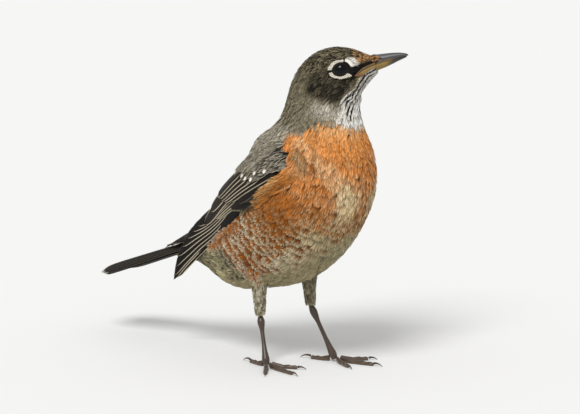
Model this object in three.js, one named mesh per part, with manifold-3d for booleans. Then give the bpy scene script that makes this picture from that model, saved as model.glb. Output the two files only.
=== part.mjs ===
// American robin, standing alert on level ground with its head turned to its left, life size.
// Millimetres, +Z up. The body faces +X and its left side is towards +Y. The whole bird is
// centred over the origin, with its toes on the floor at z = 0.
import * as THREE from "three";
import { mergeVertices } from "three/addons/utils/BufferGeometryUtils.js";
import Module from "manifold-3d";

const wasm = await Module();
wasm.setup();

// ---- Driving sizes ----
const GAP = 0.3; // clearance between neighbouring pieces
const LEFT = 1;
const RIGHT = -1;

const BILL_LENGTH = 19.6; // from the forehead feathers to the tip
const EYE_RADIUS = 5.2;
const EYE_BACK = 1; // the eye's centre, behind and above the eye station, and out from it
const EYE_UP = 2.8;
const EYE_OUT = 9;
const TAIL_LENGTH = 95;
const WING_LENGTH = 133; // folded wing, from the bend of the wing to the longest primary
const TARSUS_RADIUS = 1.25;
const BODY_SIDES = 26; // facets round the body
const TOE_START = 3.6; // from the middle of the foot to where a toe leaves its pad

// Plumage and horn colours.
const COLOURS = {
  darkHead: 0x3a3733,
  greyBrown: 0x6b665c,
  rufous: 0xc4672f,
  wingBrown: 0x4a4641,
  quill: 0x2b2926,
  paleThigh: 0x9a948a,
  horn: 0x3b3733,
  yellowHorn: 0x9a7a45,
  eye: 0x120d0a,
  leg: 0x4d3a34,
  claw: 0x1f1b19,
};

// ---- The body, from the root of the tail to the base of the bill ----
// Each station is a ring across the body: its centre, the way the spine points there (pitch above
// level and turn to the left), its half width, and its reach to the back and to the belly.
const BODY = [
  { x: -93, y: 0, z: 53.4, pitch: 21, turn: 0, wide: 4.5, back: 1.2, belly: 2.2 },
  { x: -76, y: 0, z: 58.6, pitch: 20, turn: 0, wide: 12, back: 5.5, belly: 8.5 },
  { x: -58, y: 0, z: 63.5, pitch: 20, turn: 0, wide: 18.5, back: 12.5, belly: 19.5 },
  { x: -39, y: 0, z: 71.5, pitch: 26, turn: 0, wide: 25.5, back: 22, belly: 32 },
  { x: -21, y: 0, z: 81.5, pitch: 36, turn: 0, wide: 31, back: 31, belly: 40 },
  { x: -6, y: 0, z: 93.5, pitch: 46, turn: 0, wide: 34, back: 37, belly: 42 },
  { x: 4, y: 0, z: 107, pitch: 57, turn: 0, wide: 34.5, back: 39, belly: 42 },
  { x: 10, y: 0, z: 121, pitch: 68, turn: 1, wide: 32, back: 37, belly: 41.6 },
  { x: 13, y: 0, z: 134, pitch: 77, turn: 2, wide: 27, back: 29.5, belly: 36.6 },
  { x: 14, y: 0.2, z: 145.5, pitch: 82, turn: 6, wide: 20.5, back: 23.6, belly: 28.8 },
  { x: 15.5, y: 0.8, z: 156, pitch: 80, turn: 13, wide: 16.5, back: 21.6, belly: 23.6 },
  { x: 18, y: 2, z: 165, pitch: 68, turn: 22, wide: 15, back: 20.8, belly: 21.4 },
  { x: 22.4, y: 4.5, z: 172.5, pitch: 48, turn: 29, wide: 14.2, back: 18.6, belly: 20.3 },
  { x: 27.3, y: 7.5, z: 177, pitch: 30, turn: 32, wide: 12.6, back: 14.6, belly: 18.1 },
  { x: 33, y: 11, z: 179, pitch: 18, turn: 32, wide: 9.6, back: 10.6, belly: 14.2 },
  { x: 38, y: 14.2, z: 179.8, pitch: 15, turn: 32, wide: 6.6, back: 7, belly: 9.4 },
  { x: 42.2, y: 16.9, z: 180.6, pitch: 17.5, turn: 32, wide: 4.3, back: 4.4, belly: 5.4 },
];
const NECK_BASE = 8.6; // stations where the neck meets the trunk and the head
const NAPE = 11.2;
const EYE_STATION = 13;
const BILL_STATION = BODY.length - 1;

// ---- Shaping helpers ----
const radians = THREE.MathUtils.degToRad;
const AXIS_X = new THREE.Vector3(1, 0, 0);

// A value between the entries of a list, on a smooth curve through them.
function between(list, at, key) {
  const i = Math.min(Math.floor(at), list.length - 2);
  const t = at - i;
  const [a, b, c, d] = [i - 1, i, i + 1, i + 2].map(
    (k) => list[THREE.MathUtils.clamp(k, 0, list.length - 1)][key] ?? 0,
  );
  const slopeIn = (c - a) / 2;
  const slopeOut = (d - b) / 2;
  const t2 = t * t;
  const t3 = t2 * t;
  return (
    (2 * t3 - 3 * t2 + 1) * b +
    (t3 - 2 * t2 + t) * slopeIn +
    (3 * t2 - 2 * t3) * c +
    (t3 - t2) * slopeOut
  );
}

// The station at a place between the given ones, with all of its values.
function stationAt(list, at) {
  const keys = Object.keys(list[0]);
  return Object.fromEntries(keys.map((key) => [key, between(list, at, key)]));
}

// Centre and directions of a station: ahead along the spine, left across it, and up.
function frameOf({ x, y, z, pitch, turn, roll = 0 }) {
  const p = radians(pitch);
  const t = radians(turn);
  const level = Math.cos(p);
  const ahead = new THREE.Vector3(level * Math.cos(t), level * Math.sin(t), Math.sin(p));
  const left = new THREE.Vector3(-Math.sin(t), Math.cos(t), 0).applyAxisAngle(ahead, radians(roll));
  const up = new THREE.Vector3().crossVectors(ahead, left);
  return { centre: new THREE.Vector3(x, y, z), ahead, left, up };
}

function frameMatrix(station) {
  const { centre, ahead, left, up } = frameOf(station);
  return new THREE.Matrix4().makeBasis(ahead, left, up).setPosition(centre);
}

// A closed skin over a row of rings that all have the same number of points.
function skinRings(rings) {
  const sides = rings[0].length;
  const points = rings.flat();
  const faces = [];
  for (let r = 0; r < rings.length - 1; r++) {
    for (let s = 0; s < sides; s++) {
      const a = r * sides + s;
      const b = r * sides + ((s + 1) % sides);
      faces.push([a, b, b + sides], [a, b + sides, a + sides]);
    }
  }
  for (const [ring, first, turned] of [
    [rings[0], 0, true],
    [rings.at(-1), (rings.length - 1) * sides, false],
  ]) {
    const middle = ring.reduce((sum, p) => sum.add(p), new THREE.Vector3()).divideScalar(sides);
    const hub = points.push(middle) - 1;
    for (let s = 0; s < sides; s++) {
      const a = first + s;
      const b = first + ((s + 1) % sides);
      faces.push(turned ? [hub, b, a] : [hub, a, b]);
    }
  }
  const geometry = new THREE.BufferGeometry().setFromPoints(points);
  geometry.setIndex(faces.flat());
  return geometry;
}

// Moves the two end rings outwards, so that a grown copy covers the ends of the first one.
function growEnds(rings, aheads, grow) {
  rings[0].forEach((p) => p.addScaledVector(aheads[0], -grow));
  rings.at(-1).forEach((p) => p.addScaledVector(aheads.at(-1), grow));
}

// A round body over its stations: half width to the sides, "back" above and "belly" below.
function roundLoft(stations, { sides = 24, steps = 2, grow = 0 } = {}) {
  const rings = [];
  const aheads = [];
  for (let i = 0; i <= (stations.length - 1) * steps; i++) {
    const station = stationAt(stations, i / steps);
    const { centre, ahead, left, up } = frameOf(station);
    const ring = [];
    for (let s = 0; s < sides; s++) {
      const angle = (2 * Math.PI * s) / sides;
      const rise = Math.sin(angle) * ((Math.sin(angle) > 0 ? station.back : station.belly) + grow);
      const across = Math.cos(angle) * (station.wide + grow);
      ring.push(centre.clone().addScaledVector(left, across).addScaledVector(up, rise));
    }
    rings.push(ring);
    aheads.push(ahead);
  }
  growEnds(rings, aheads, grow);
  return skinRings(rings);
}

// A curved blade, such as a folded wing or tail: it reaches "upper" and "lower" from its middle
// line and is bent round a radius of "wrap". Its outer face stands half its thickness out from
// the middle and slopes to its edges; its inner face lies "deep" inside, or follows the outer.
const BLADE_EDGE = 0.6;
function bladeLoft(stations, { across = 8, steps = 2, grow = 0 } = {}) {
  const rings = [];
  const aheads = [];
  for (let i = 0; i <= (stations.length - 1) * steps; i++) {
    const station = stationAt(stations, i / steps);
    const { centre, ahead, left: out, up } = frameOf(station);
    const upper = station.upper + grow;
    const lower = station.lower + grow;
    const outer = [];
    const inner = [];
    for (let s = 0; s <= across; s++) {
      const share = (2 * s) / across - 1;
      const reach = share > 0 ? share * upper : share * lower;
      const bend = reach / station.wrap;
      const round = Math.sqrt(Math.max(0, 1 - share * share));
      const half = (BLADE_EDGE + (station.thick - BLADE_EDGE) * round) / 2 + grow;
      const normal = out.clone().multiplyScalar(Math.cos(bend)).addScaledVector(up, Math.sin(bend));
      const middle = centre
        .clone()
        .addScaledVector(out, station.wrap * (Math.cos(bend) - 1))
        .addScaledVector(up, station.wrap * Math.sin(bend));
      const inside = station.deep === undefined ? half : station.deep + grow;
      outer.push(middle.clone().addScaledVector(normal, half));
      inner.push(middle.clone().addScaledVector(normal, -inside));
    }
    rings.push([...outer, ...inner.reverse()]);
    aheads.push(ahead);
  }
  growEnds(rings, aheads, grow);
  return skinRings(rings);
}

// ---- Solids and meshes ----
function solidOf(geometry) {
  const bare = geometry.clone();
  bare.deleteAttribute("normal");
  bare.deleteAttribute("uv");
  const merged = mergeVertices(bare, 1e-4);
  const triVerts = new Uint32Array(merged.index.array);
  const make = () =>
    new wasm.Manifold(
      new wasm.Mesh({ numProp: 3, vertProperties: merged.attributes.position.array, triVerts }),
    );
  const made = make();
  if (made.volume() > 0) return made;
  for (let i = 0; i < triVerts.length; i += 3) {
    [triVerts[i + 1], triVerts[i + 2]] = [triVerts[i + 2], triVerts[i + 1]];
  }
  return make();
}

function geometryOf(solid) {
  const { vertProperties, triVerts } = solid.getMesh();
  const geometry = new THREE.BufferGeometry();
  geometry.setAttribute("position", new THREE.BufferAttribute(vertProperties, 3));
  geometry.setIndex(new THREE.BufferAttribute(triVerts, 1));
  geometry.computeVertexNormals();
  return geometry;
}

// The largest body of a solid: a cut may leave crumbs beside it.
function largest(solid) {
  return solid.decompose().sort((a, b) => b.volume() - a.volume())[0];
}

function meshOf(name, solid, color, roughness = 0.8) {
  const material = new THREE.MeshStandardMaterial({ color, roughness, metalness: 0 });
  const mesh = new THREE.Mesh(geometryOf(largest(solid)), material);
  mesh.name = name;
  return mesh;
}

// Parts a solid across the spine at a station, with the clearance between the two sides.
function partAt(solid, station) {
  const { centre, ahead } = frameOf(station);
  const at = centre.dot(ahead);
  const front = solid.trimByPlane(ahead.toArray(), at + GAP / 2);
  const rear = solid.trimByPlane(ahead.clone().negate().toArray(), -at + GAP / 2);
  return [front, rear];
}

// ---- Bill ----
// One half of the bill, closed. Places are measured along the bill from the forehead feathers
// towards the tip. The cutting edges run straight at first, turn down at the tip, and drop
// towards the corners of the mouth behind; "high" is how far the half stands from that edge.
const BILL_HALVES = {
  upper: [
    { at: -8, wide: 5.2, high: 3 },
    { at: -4, wide: 4.5, high: 4.4 },
    { at: 0, wide: 3.7, high: 5 },
    { at: 5, wide: 2.9, high: 4.3 },
    { at: 10, wide: 2.2, high: 3.4 },
    { at: 15, wide: 1.4, high: 2.4 },
    { at: 18.5, wide: 0.8, high: 1.3 },
    { at: BILL_LENGTH, wide: 0.4, high: 0.5 },
  ],
  lower: [
    { at: -8, wide: 5.6, high: 3.6 },
    { at: -4, wide: 4.7, high: 3.9 },
    { at: 0, wide: 3.8, high: 3.8 },
    { at: 5, wide: 2.8, high: 3.3 },
    { at: 10, wide: 2, high: 2.4 },
    { at: 15, wide: 1.2, high: 1.3 },
    { at: 18.5, wide: 0.5, high: 0.4 },
  ],
};
const EDGE_THICK = 0.12;

function cuttingEdge(at) {
  const tipDroop = 0.007 * Math.max(0, at - 10) ** 2;
  const gapeDrop = 0.2 * Math.max(0, -at);
  return -tipDroop - gapeDrop;
}

function billHalf(which, grow = 0) {
  const above = which === "upper";
  const { centre, ahead, up } = frameOf(BODY[BILL_STATION]);
  const stations = BILL_HALVES[which].map(({ at, wide, high }) => {
    const rise = cuttingEdge(at) + (above ? GAP / 2 : -GAP / 2);
    const { x, y, z } = centre.clone().addScaledVector(ahead, at).addScaledVector(up, rise);
    const back = above ? high : EDGE_THICK;
    const belly = above ? EDGE_THICK : high;
    return { ...BODY[BILL_STATION], x, y, z, wide, back, belly };
  });
  return solidOf(roundLoft(stations, { sides: 12, steps: 1, grow }));
}

// ---- Eye ----
function eyeSolid(side, grow = 0) {
  const ball = new THREE.SphereGeometry(EYE_RADIUS + grow, 14, 9);
  const seat = frameMatrix(stationAt(BODY, EYE_STATION));
  const place = new THREE.Vector3(-EYE_BACK, side * EYE_OUT, EYE_UP).applyMatrix4(seat);
  ball.translate(...place.toArray());
  return solidOf(ball);
}

// ---- Legs ----
// Each leg goes from a feathered shank in the belly to the ankle, then by the bare tarsus to the
// foot.
const LEGS = {
  right: {
    hip: [-19.5, -15.5, 62],
    ankle: [-19.5, -13.5, 28],
    foot: [-9, -20.5],
    heading: -14,
  },
  left: {
    hip: [-8.5, 15.5, 62],
    ankle: [-4, 13.5, 32],
    foot: [11.5, 17],
    heading: 12,
  },
};
const TARSUS_END = 1.6; // the lowest ring of the tarsus above the floor
const ANKLE_COVER = 2.5; // how far the feathered shank reaches past the ankle

// A straight round limb between two points, given its radii at even steps along it.
function limb(from, to, radii, options = {}) {
  const a = new THREE.Vector3(...from);
  const way = new THREE.Vector3(...to).sub(a);
  const pitch = THREE.MathUtils.radToDeg(Math.asin(way.z / way.length()));
  const turn = THREE.MathUtils.radToDeg(Math.atan2(way.y, way.x));
  const stations = radii.map((radius, i) => {
    const p = a.clone().addScaledVector(way, i / (radii.length - 1));
    const fit = { pitch, turn, wide: radius, back: radius, belly: radius };
    return { x: p.x, y: p.y, z: p.z, ...fit };
  });
  return solidOf(roundLoft(stations, { sides: 10, steps: 1, ...options }));
}

function tarsusSolid({ ankle, foot }, grow = 0) {
  const r = TARSUS_RADIUS;
  const radii = [1.2, 2.2, 1.9, r * 1.05, r, r, r * 1.05, r * 1.25, 1.9, 2.3, 1.7];
  return limb(ankle, [...foot, TARSUS_END], radii, { grow });
}

// The feathered shank narrows to the ankle, and closes over the top of the tarsus.
function shankSolid({ hip, ankle }, grow = 0) {
  const drop = new THREE.Vector3(...ankle).sub(new THREE.Vector3(...hip)).normalize();
  const end = new THREE.Vector3(...ankle).addScaledVector(drop, ANKLE_COVER);
  return limb(hip, end.toArray(), [8.5, 8, 6.6, 5.0, 4.1, 3.7, 3.3, 2.4], { grow });
}

// ---- Feet ----
// Four toes, each with its length, its swing from straight ahead and its claw's length.
const TOES = [
  { name: "inner", length: 15, swing: 38, claw: 5.5 },
  { name: "middle", length: 21.5, swing: 0, claw: 6 },
  { name: "outer", length: 16, swing: -38, claw: 5.5 },
  { name: "hind", length: 12, swing: 180, claw: 7.5 },
];
const TOE_WIDE = 1.3;
const TOE_ROOT_RISE = 2; // a toe's top climbs by this much over the first third, to the tarsus
const TOE_SUNK = 0.2; // share of a toe's half width cut away to make its flat sole
const CLAW_WIDE = 0.75;
const CLAW_BEND = 62; // how far a claw turns down along its length
const CLAW_SET = 18; // how far it points up where it leaves the toe
const CLAW_TIP = 0.18; // share of its width left at the tip
const CLAW_LIFT = 0.25; // the middle of the tip above the floor
const CLAW_STEPS = 5;

// A toe lies along +X with a flat sole at z = 0 and swells at each joint's pad.
function toeSolid(length) {
  const places = [0, 0.12, 0.32, 0.46, 0.64, 0.78, 0.92, 1];
  const girths = [0.72, 0.84, 1.1, 0.92, 1.06, 0.88, 0.98, 0.7];
  const stations = places.map((share, i) => {
    const half = TOE_WIDE * girths[i];
    const rise = TOE_ROOT_RISE * Math.max(0, 1 - share / places[2]);
    const shape = { pitch: 0, turn: 0, wide: half, back: half * 1.05, belly: half + rise };
    return { x: share * length, y: 0, z: half * (1 - TOE_SUNK) + rise, ...shape };
  });
  const whole = solidOf(roundLoft(stations, { sides: 8, steps: 1 }));
  return whole.trimByPlane([0, 0, 1], 0);
}

// A claw rises a little from the toe's end and curves down to its tip just off the floor.
function clawSolid(length) {
  const radius = length / radians(CLAW_BEND);
  const start = radians(-CLAW_SET);
  const end = radians(CLAW_BEND - CLAW_SET);
  const stations = [];
  for (let i = 0; i <= CLAW_STEPS; i++) {
    const share = i / CLAW_STEPS;
    const pitch = CLAW_SET - CLAW_BEND * share;
    const at = radians(-pitch);
    const girth = CLAW_WIDE * (1 - (1 - CLAW_TIP) * share);
    const x = radius * (Math.sin(at) - Math.sin(start));
    const z = radius * (Math.cos(at) - Math.cos(end)) + CLAW_LIFT;
    stations.push({ x, y: 0, z, pitch, turn: 0, wide: girth * 0.75, back: girth, belly: girth });
  }
  return solidOf(roundLoft(stations, { sides: 6, steps: 1 })).trimByPlane([0, 0, 1], 0.02);
}

function footGroup(side, { foot, heading }) {
  const group = new THREE.Group();
  group.position.set(foot[0], foot[1], 0);
  group.rotation.z = radians(heading);
  const mirror = side === "left" ? RIGHT : LEFT;
  for (const { name, length, swing, claw } of TOES) {
    const toe = new THREE.Group();
    toe.rotation.z = radians(swing * mirror);
    const bone = meshOf(`toe_${side}_${name}`, toeSolid(length), COLOURS.leg, 0.6);
    bone.position.x = TOE_START;
    const nail = meshOf(`claw_${side}_${name}`, clawSolid(claw), COLOURS.claw, 0.35);
    nail.position.x = TOE_START + length + GAP;
    toe.add(bone, nail);
    group.add(toe);
  }
  return group;
}

// ---- Wings ----
// A folded wing runs from its bend at the shoulder to the primary tips, down the side of the body.
// Its line falls by "fall" below level and closes on the middle of the bird by "close". The wing
// may "bulge" out round the body, and rolls by "flat" over the rump towards its tip.
const WINGS = {
  right: { side: RIGHT, bend: [14.5, -28.4, 128.3], fall: 41, close: 8, bulge: 0, flat: 0 },
  left: { side: LEFT, bend: [10, 31, 121.8], fall: 29.9, close: 18.3, bulge: 3, flat: 98 },
};
// Each row gives the place along the wing, how far out from its line and above it the middle of
// the layer lies, its reaches, its thickness, its inner face, its wrap and its lean.
const WING_ROW = ["along", "out", "rise", "upper", "lower", "thick", "deep", "wrap", "lean"];
const WING_LAYERS = {
  coverts: [
    [-3, -1, 0, 2, 2, 2, 3, 22, 0],
    [2, 3, -0.5, 7, 6.5, 4, 6, 22, 2],
    [10, 7, 0, 13, 9.5, 5, 8, 22, 5],
    [21, 10.2, 0.6, 17, 10, 5, 8, 23, 8],
    [32, 11.2, 1.4, 16.5, 9.5, 4.6, 7, 23, 8],
    [41, 10.8, 2.4, 13.5, 8, 3.6, 5, 23, 8],
    [47, 9.6, 3.4, 9, 5, 2, 2, 23, 8],
  ],
  secondaries: [
    [28, 9.4, 1, 16, 9, 3.4, 5, 23, 8],
    [44, 9.6, 2, 14, 8.5, 3.6, 5, 23, 8],
    [62, 7, 3.4, 12, 8, 3.2, 3.4, 23, 8],
    [77, 4.2, 6, 9.8, 5.5, 2.4, 1.4, 24, 8],
    [86, 2.6, 8.6, 6, 4, 1.6, 0.8, 24, 8],
    [91, 1.8, 11, 2.6, 2, 1, 0.5, 24, 8],
  ],
  primaries: [
    [60, 4.2, 1.5, 7, 7, 3, 1.5, 34, 8],
    [82, 2, 3.8, 8.5, 7.5, 2.8, 1.4, 38, 6],
    [101, 0.4, 4.8, 7.8, 7.2, 2.4, 1.2, 50, 4],
    [116, 0, 3.8, 6.2, 6, 2, 1, 70, 3],
    [124, 0, 2.4, 4.2, 4.4, 1.6, 0.8, 80, 2],
    [129.5, 0, 1, 2, 2.4, 1.2, 0.6, 80, 2],
    [133, 0, 0, 0.8, 0.8, 0.8, 0.4, 80, 2],
  ],
};

const ROLL_START = 30; // along the wing, where the roll over the rump begins and ends
const ROLL_END = 112;

// A layer is shaped along its own line from the bend to the tip, with its outer face towards +Y,
// and then laid on the side of the bird; the left wing is the mirror image of the right.
function wingSolid({ side, bend, fall, close, bulge, flat }, layerName, grow = 0) {
  const stations = WING_LAYERS[layerName].map((row) => {
    const named = Object.fromEntries(WING_ROW.map((key, i) => [key, row[i]]));
    const { along, out, rise, lean, ...shape } = named;
    const over = flat * THREE.MathUtils.smoothstep(along, ROLL_START, ROLL_END);
    const away = out + bulge * Math.sin((Math.PI * along) / WING_LENGTH);
    const middle = new THREE.Vector3(along, away, rise).applyAxisAngle(AXIS_X, radians(over));
    const { x, y, z } = middle;
    return { x, y, z, pitch: 0, turn: 0, roll: lean + over, ...shape };
  });
  const [x, y, z] = bend;
  const line = frameOf({ x, y, z, pitch: -fall, turn: 180 + side * close });
  const outwards = line.left.clone().multiplyScalar(-side);
  const place = new THREE.Matrix4().makeBasis(line.ahead, outwards, line.up).setPosition(x, y, z);
  const steps = layerName === "primaries" ? 1 : 2;
  return solidOf(bladeLoft(stations, { grow, steps }).applyMatrix4(place));
}

// ---- Tail ----
const TAIL_ROOT = { x: -57, y: 0, z: 68.7, pitch: 20, turn: 0 };
function tailSolid(grow = 0) {
  const shape = [
    { along: 0, upper: 9, lower: 9, thick: 5 },
    { along: 25, upper: 11.5, lower: 11.5, thick: 4.2 },
    { along: 55, upper: 13.5, lower: 13.5, thick: 3.9 },
    { along: 83, upper: 15.5, lower: 15.5, thick: 3.4 },
    { along: 91, upper: 15, lower: 15, thick: 2.8 },
    { along: TAIL_LENGTH, upper: 11, lower: 11, thick: 1.6 },
  ];
  const { centre, ahead } = frameOf(TAIL_ROOT);
  const stations = shape.map(({ along, ...reach }) => {
    const p = centre.clone().addScaledVector(ahead, -along);
    return { ...TAIL_ROOT, x: p.x, y: p.y, z: p.z, roll: 90, wrap: 34, ...reach };
  });
  return solidOf(bladeLoft(stations, { grow, across: 10, steps: 1 }));
}

// ---- Putting the bird together ----
const bird = new THREE.Group();

const whole = solidOf(roundLoft(BODY, { sides: BODY_SIDES }));
const wholeGrown = solidOf(roundLoft(BODY, { sides: BODY_SIDES, grow: GAP }));
const [aboveNeckBase, trunk] = partAt(whole, stationAt(BODY, NECK_BASE));
const [headWhole, neck] = partAt(aboveNeckBase, stationAt(BODY, NAPE));

const headPieces = [billHalf("upper"), billHalf("lower"), eyeSolid(LEFT), eyeSolid(RIGHT)];
const headHoles = [
  billHalf("upper", GAP),
  billHalf("lower", GAP),
  eyeSolid(LEFT, GAP),
  eyeSolid(RIGHT, GAP),
];
const head = headHoles.reduce((solid, hole) => solid.subtract(hole), headWhole);
const [upperBill, lowerBill, leftEye, rightEye] = headPieces;

bird.add(
  meshOf("head", head, COLOURS.darkHead),
  meshOf("neck", neck, COLOURS.greyBrown),
  meshOf("trunk", trunk, COLOURS.rufous),
  meshOf("bill_upper", upperBill, COLOURS.horn, 0.4),
  meshOf("bill_lower", lowerBill, COLOURS.yellowHorn, 0.4),
  meshOf("eye_left", leftEye, COLOURS.eye, 0.08),
  meshOf("eye_right", rightEye, COLOURS.eye, 0.08),
);

const tail = tailSolid().subtract(wholeGrown);
const tailGrown = tailSolid(GAP);
bird.add(meshOf("tail", tail, COLOURS.quill));

for (const [side, leg] of Object.entries(LEGS)) {
  const shank = shankSolid(leg).subtract(wholeGrown).subtract(tarsusSolid(leg, GAP));
  bird.add(meshOf(`shank_${side}`, shank, COLOURS.paleThigh));
  bird.add(meshOf(`tarsus_${side}`, tarsusSolid(leg), COLOURS.leg, 0.5));
  bird.add(footGroup(side, leg));
}

for (const [side, wing] of Object.entries(WINGS)) {
  const outside = wholeGrown.add(tailGrown);
  const taken = [outside];
  for (const layer of ["coverts", "secondaries", "primaries"]) {
    const blade = taken.reduce((solid, other) => solid.subtract(other), wingSolid(wing, layer));
    bird.add(meshOf(`wing_${side}_${layer}`, blade, COLOURS.wingBrown));
    taken.push(wingSolid(wing, layer, GAP));
  }
}

// The origin is under the middle of the whole bird.
const box = new THREE.Box3().setFromObject(bird);
const middle = box.getCenter(new THREE.Vector3());
bird.position.set(-middle.x, -middle.y, -box.min.z);

export default bird;
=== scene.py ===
import math

import bpy
import numpy as np
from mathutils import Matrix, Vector, kdtree


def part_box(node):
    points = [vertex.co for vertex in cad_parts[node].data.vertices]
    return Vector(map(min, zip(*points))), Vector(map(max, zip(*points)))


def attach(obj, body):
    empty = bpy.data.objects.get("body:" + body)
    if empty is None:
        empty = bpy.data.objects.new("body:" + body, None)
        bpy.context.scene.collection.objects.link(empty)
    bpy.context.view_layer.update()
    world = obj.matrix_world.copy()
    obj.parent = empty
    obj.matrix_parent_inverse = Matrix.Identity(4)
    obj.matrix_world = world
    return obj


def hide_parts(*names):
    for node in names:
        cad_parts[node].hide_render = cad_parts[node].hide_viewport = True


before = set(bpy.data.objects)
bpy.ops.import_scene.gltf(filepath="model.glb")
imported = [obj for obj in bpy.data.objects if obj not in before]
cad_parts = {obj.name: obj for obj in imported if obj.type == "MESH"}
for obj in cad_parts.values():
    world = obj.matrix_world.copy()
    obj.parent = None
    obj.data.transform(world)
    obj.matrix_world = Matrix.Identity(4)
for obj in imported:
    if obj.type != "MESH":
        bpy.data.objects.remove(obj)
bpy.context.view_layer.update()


# ---- The skin ----
# The robin's trunk, neck, head and thighs are one soft body, here the bare skin that the
# feathers grow from. The scaly shanks and toes, of harder skin, are one piece with it.
MM = 0.001
LEFT = 1
RIGHT = -1
PITCH, TURN, WIDE, BACK, BELLY, COAT = range(3, 9)
# Each row is a ring across the body, from the root of the tail to the base of the bill: its
# middle, the way the spine points there (pitch above level, turn to the left), its half width,
# its reach to back and belly, and the depth of the coat.
BODY = np.array([
    (-93, 0, 53.4, 21, 0, 4.5, 1.2, 2.2, 0.5),
    (-76, 0, 58.6, 20, 0, 12, 5.5, 8.5, 1.5),
    (-58, 0, 63.5, 20, 0, 18.5, 12.5, 19.5, 2.6),
    (-39, 0, 71.5, 26, 0, 25.5, 22, 32, 3.0),
    (-21, 0, 81.5, 36, 0, 31, 31, 40, 3.0),
    (-6, 0, 93.5, 46, 0, 34, 37, 42, 3.0),
    (4, 0, 107, 57, 0, 34.5, 39, 42, 3.0),
    (10, 0, 121, 68, 1, 32, 37, 41.6, 2.8),
    (13, 0, 134, 77, 2, 27, 29.5, 36.6, 2.6),
    (14, 0.2, 145.5, 82, 6, 20.5, 23.6, 28.8, 2.2),
    (15.5, 0.8, 156, 80, 13, 16.5, 21.6, 23.6, 1.9),
    (18, 2, 165, 68, 22, 15, 20.8, 21.4, 1.5),
    (22.4, 4.5, 172.5, 48, 29, 14.2, 18.6, 20.3, 1.1),
    (27.3, 7.5, 177, 30, 32, 12.6, 14.6, 18.1, 0.9),
    (33, 11, 179, 18, 32, 9.6, 10.6, 14.2, 0.7),
    (38, 14.2, 179.8, 15, 32, 6.6, 7, 9.4, 0.5),
    (42.2, 16.9, 180.6, 17.5, 32, 4.3, 4.4, 5.4, 0.35),
])
TAIL_STEP = 17.8  # from the first station to the second
EYE_STATION = 13
EYE_BACK = 1  # the middle of the eye from that station: behind it, out from it and above it
EYE_OUT = 9
EYE_UP = 2.8
EYE_RADIUS = 5.2
LEGS = {
    "right": {"hip": (-19.5, -15.5, 62), "ankle": (-19.5, -13.5, 28), "foot": (-9, -20.5)},
    "left": {"hip": (-8.5, 15.5, 62), "ankle": (-4, 13.5, 32), "foot": (11.5, 17)},
}
HEADING = {"right": -14, "left": 12}
THIGH_RADII = (8.5, 8, 6.6, 5.0, 4.1, 3.7, 3.3, 2.4)
THIGH_COAT = 1.3
ANKLE_COVER = 2.5  # how far the feathered part reaches past the ankle
THIGH_FADE = (3.5, 5.0)  # from the body, where its markings give way to the thigh's grey
TARSUS_RADII = (1.2, 2.2, 1.9, 1.31, 1.25, 1.25, 1.31, 1.56, 1.9, 2.3, 1.7)
TARSUS_END = 1.6
TOE_START = 3.6
# Each toe: its name, length, swing from straight ahead and its claw's length.
TOES = (
    ("inner", 15, 38, 5.5),
    ("middle", 21.5, 0, 6),
    ("outer", 16, -38, 5.5),
    ("hind", 12, 180, 7.5),
)
TOE_WIDE = 1.3
TOE_HIGH = 1.05  # over its width
TOE_ROOT_RISE = 2
TOE_SUNK = 0.2
TOE_PLACES = (0, 0.12, 0.32, 0.46, 0.64, 0.78, 0.92, 1)
TOE_GIRTHS = (0.72, 0.84, 1.1, 0.92, 1.06, 0.88, 0.98, 0.7)
# The skin shows only between the feathers: it takes the coat's colour, darkened as painted shade.
SKIN_PAINTED_SHADE = 0.7  # the skin's colour over the coat's
SKIN_VOXEL = 1.1
LEG_VOXEL = 0.32


def smooth_rows(rows, at):
    """The rows of a table at places between them, on a smooth curve."""
    at = np.asarray(at, float)
    i = np.clip(np.floor(at).astype(int), 0, len(rows) - 2)
    t = (at - i)[..., None]
    a, b, c, d = (rows[np.clip(i + k, 0, len(rows) - 1)] for k in (-1, 0, 1, 2))
    t2 = t * t
    t3 = t2 * t
    into = (c - a) / 2
    out = (d - b) / 2
    first = (2 * t3 - 3 * t2 + 1) * b + (t3 - 2 * t2 + t) * into
    return first + (3 * t2 - 2 * t3) * c + (t3 - t2) * out


def ways(pitch, turn):
    """Ahead, left and up for a pitch above level and a turn to the left, in degrees."""
    p, t = np.radians(pitch), np.radians(turn)
    ahead = np.stack([np.cos(p) * np.cos(t), np.cos(p) * np.sin(t), np.sin(p)], -1)
    left = np.stack([-np.sin(t), np.cos(t), 0 * t], -1)
    return ahead, left, np.cross(ahead, left)


def on_form(rows, at, turn, height=0.0):
    """A point on a round form: its station, its turn round it (0 left, 90 degrees up)."""
    inside = np.clip(at, 0, len(rows) - 1)
    row = smooth_rows(rows, inside)
    ahead, left, up = ways(row[..., PITCH], row[..., TURN])
    reach = np.where(np.sin(turn) > 0, row[..., BACK], row[..., BELLY])
    side = np.cos(turn) * (row[..., WIDE] + height)
    rise = np.sin(turn) * (reach + height)
    past = (at - inside) * TAIL_STEP
    return row[..., :3] + ahead * past[..., None] + left * side[..., None] + up * rise[..., None]


def eye_centre(side):
    """The middle of an eyeball."""
    row = BODY[EYE_STATION]
    ahead, left, up = ways(row[PITCH], row[TURN])
    return row[:3] - ahead * EYE_BACK + left * side * EYE_OUT + up * EYE_UP


# The tables are in the bird's own frame; HOME moves them to the model's.
LOW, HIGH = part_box("eye_left")
HOME = (np.array(LOW) + np.array(HIGH)) / 2 / MM - eye_centre(LEFT)


def limb_rows(start, end, radii, coat=0.0):
    """The rows of a straight limb with its radii at even steps, as for the body."""
    start, end = np.array(start, float), np.array(end, float)
    way = end - start
    pitch = math.degrees(math.asin(way[2] / np.linalg.norm(way)))
    turn = math.degrees(math.atan2(way[1], way[0]))
    steps = np.linspace(0, 1, len(radii))
    rows = [(*(start + way * t), pitch, turn, r, r, r, coat) for t, r in zip(steps, radii)]
    return np.array(rows)


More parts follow.
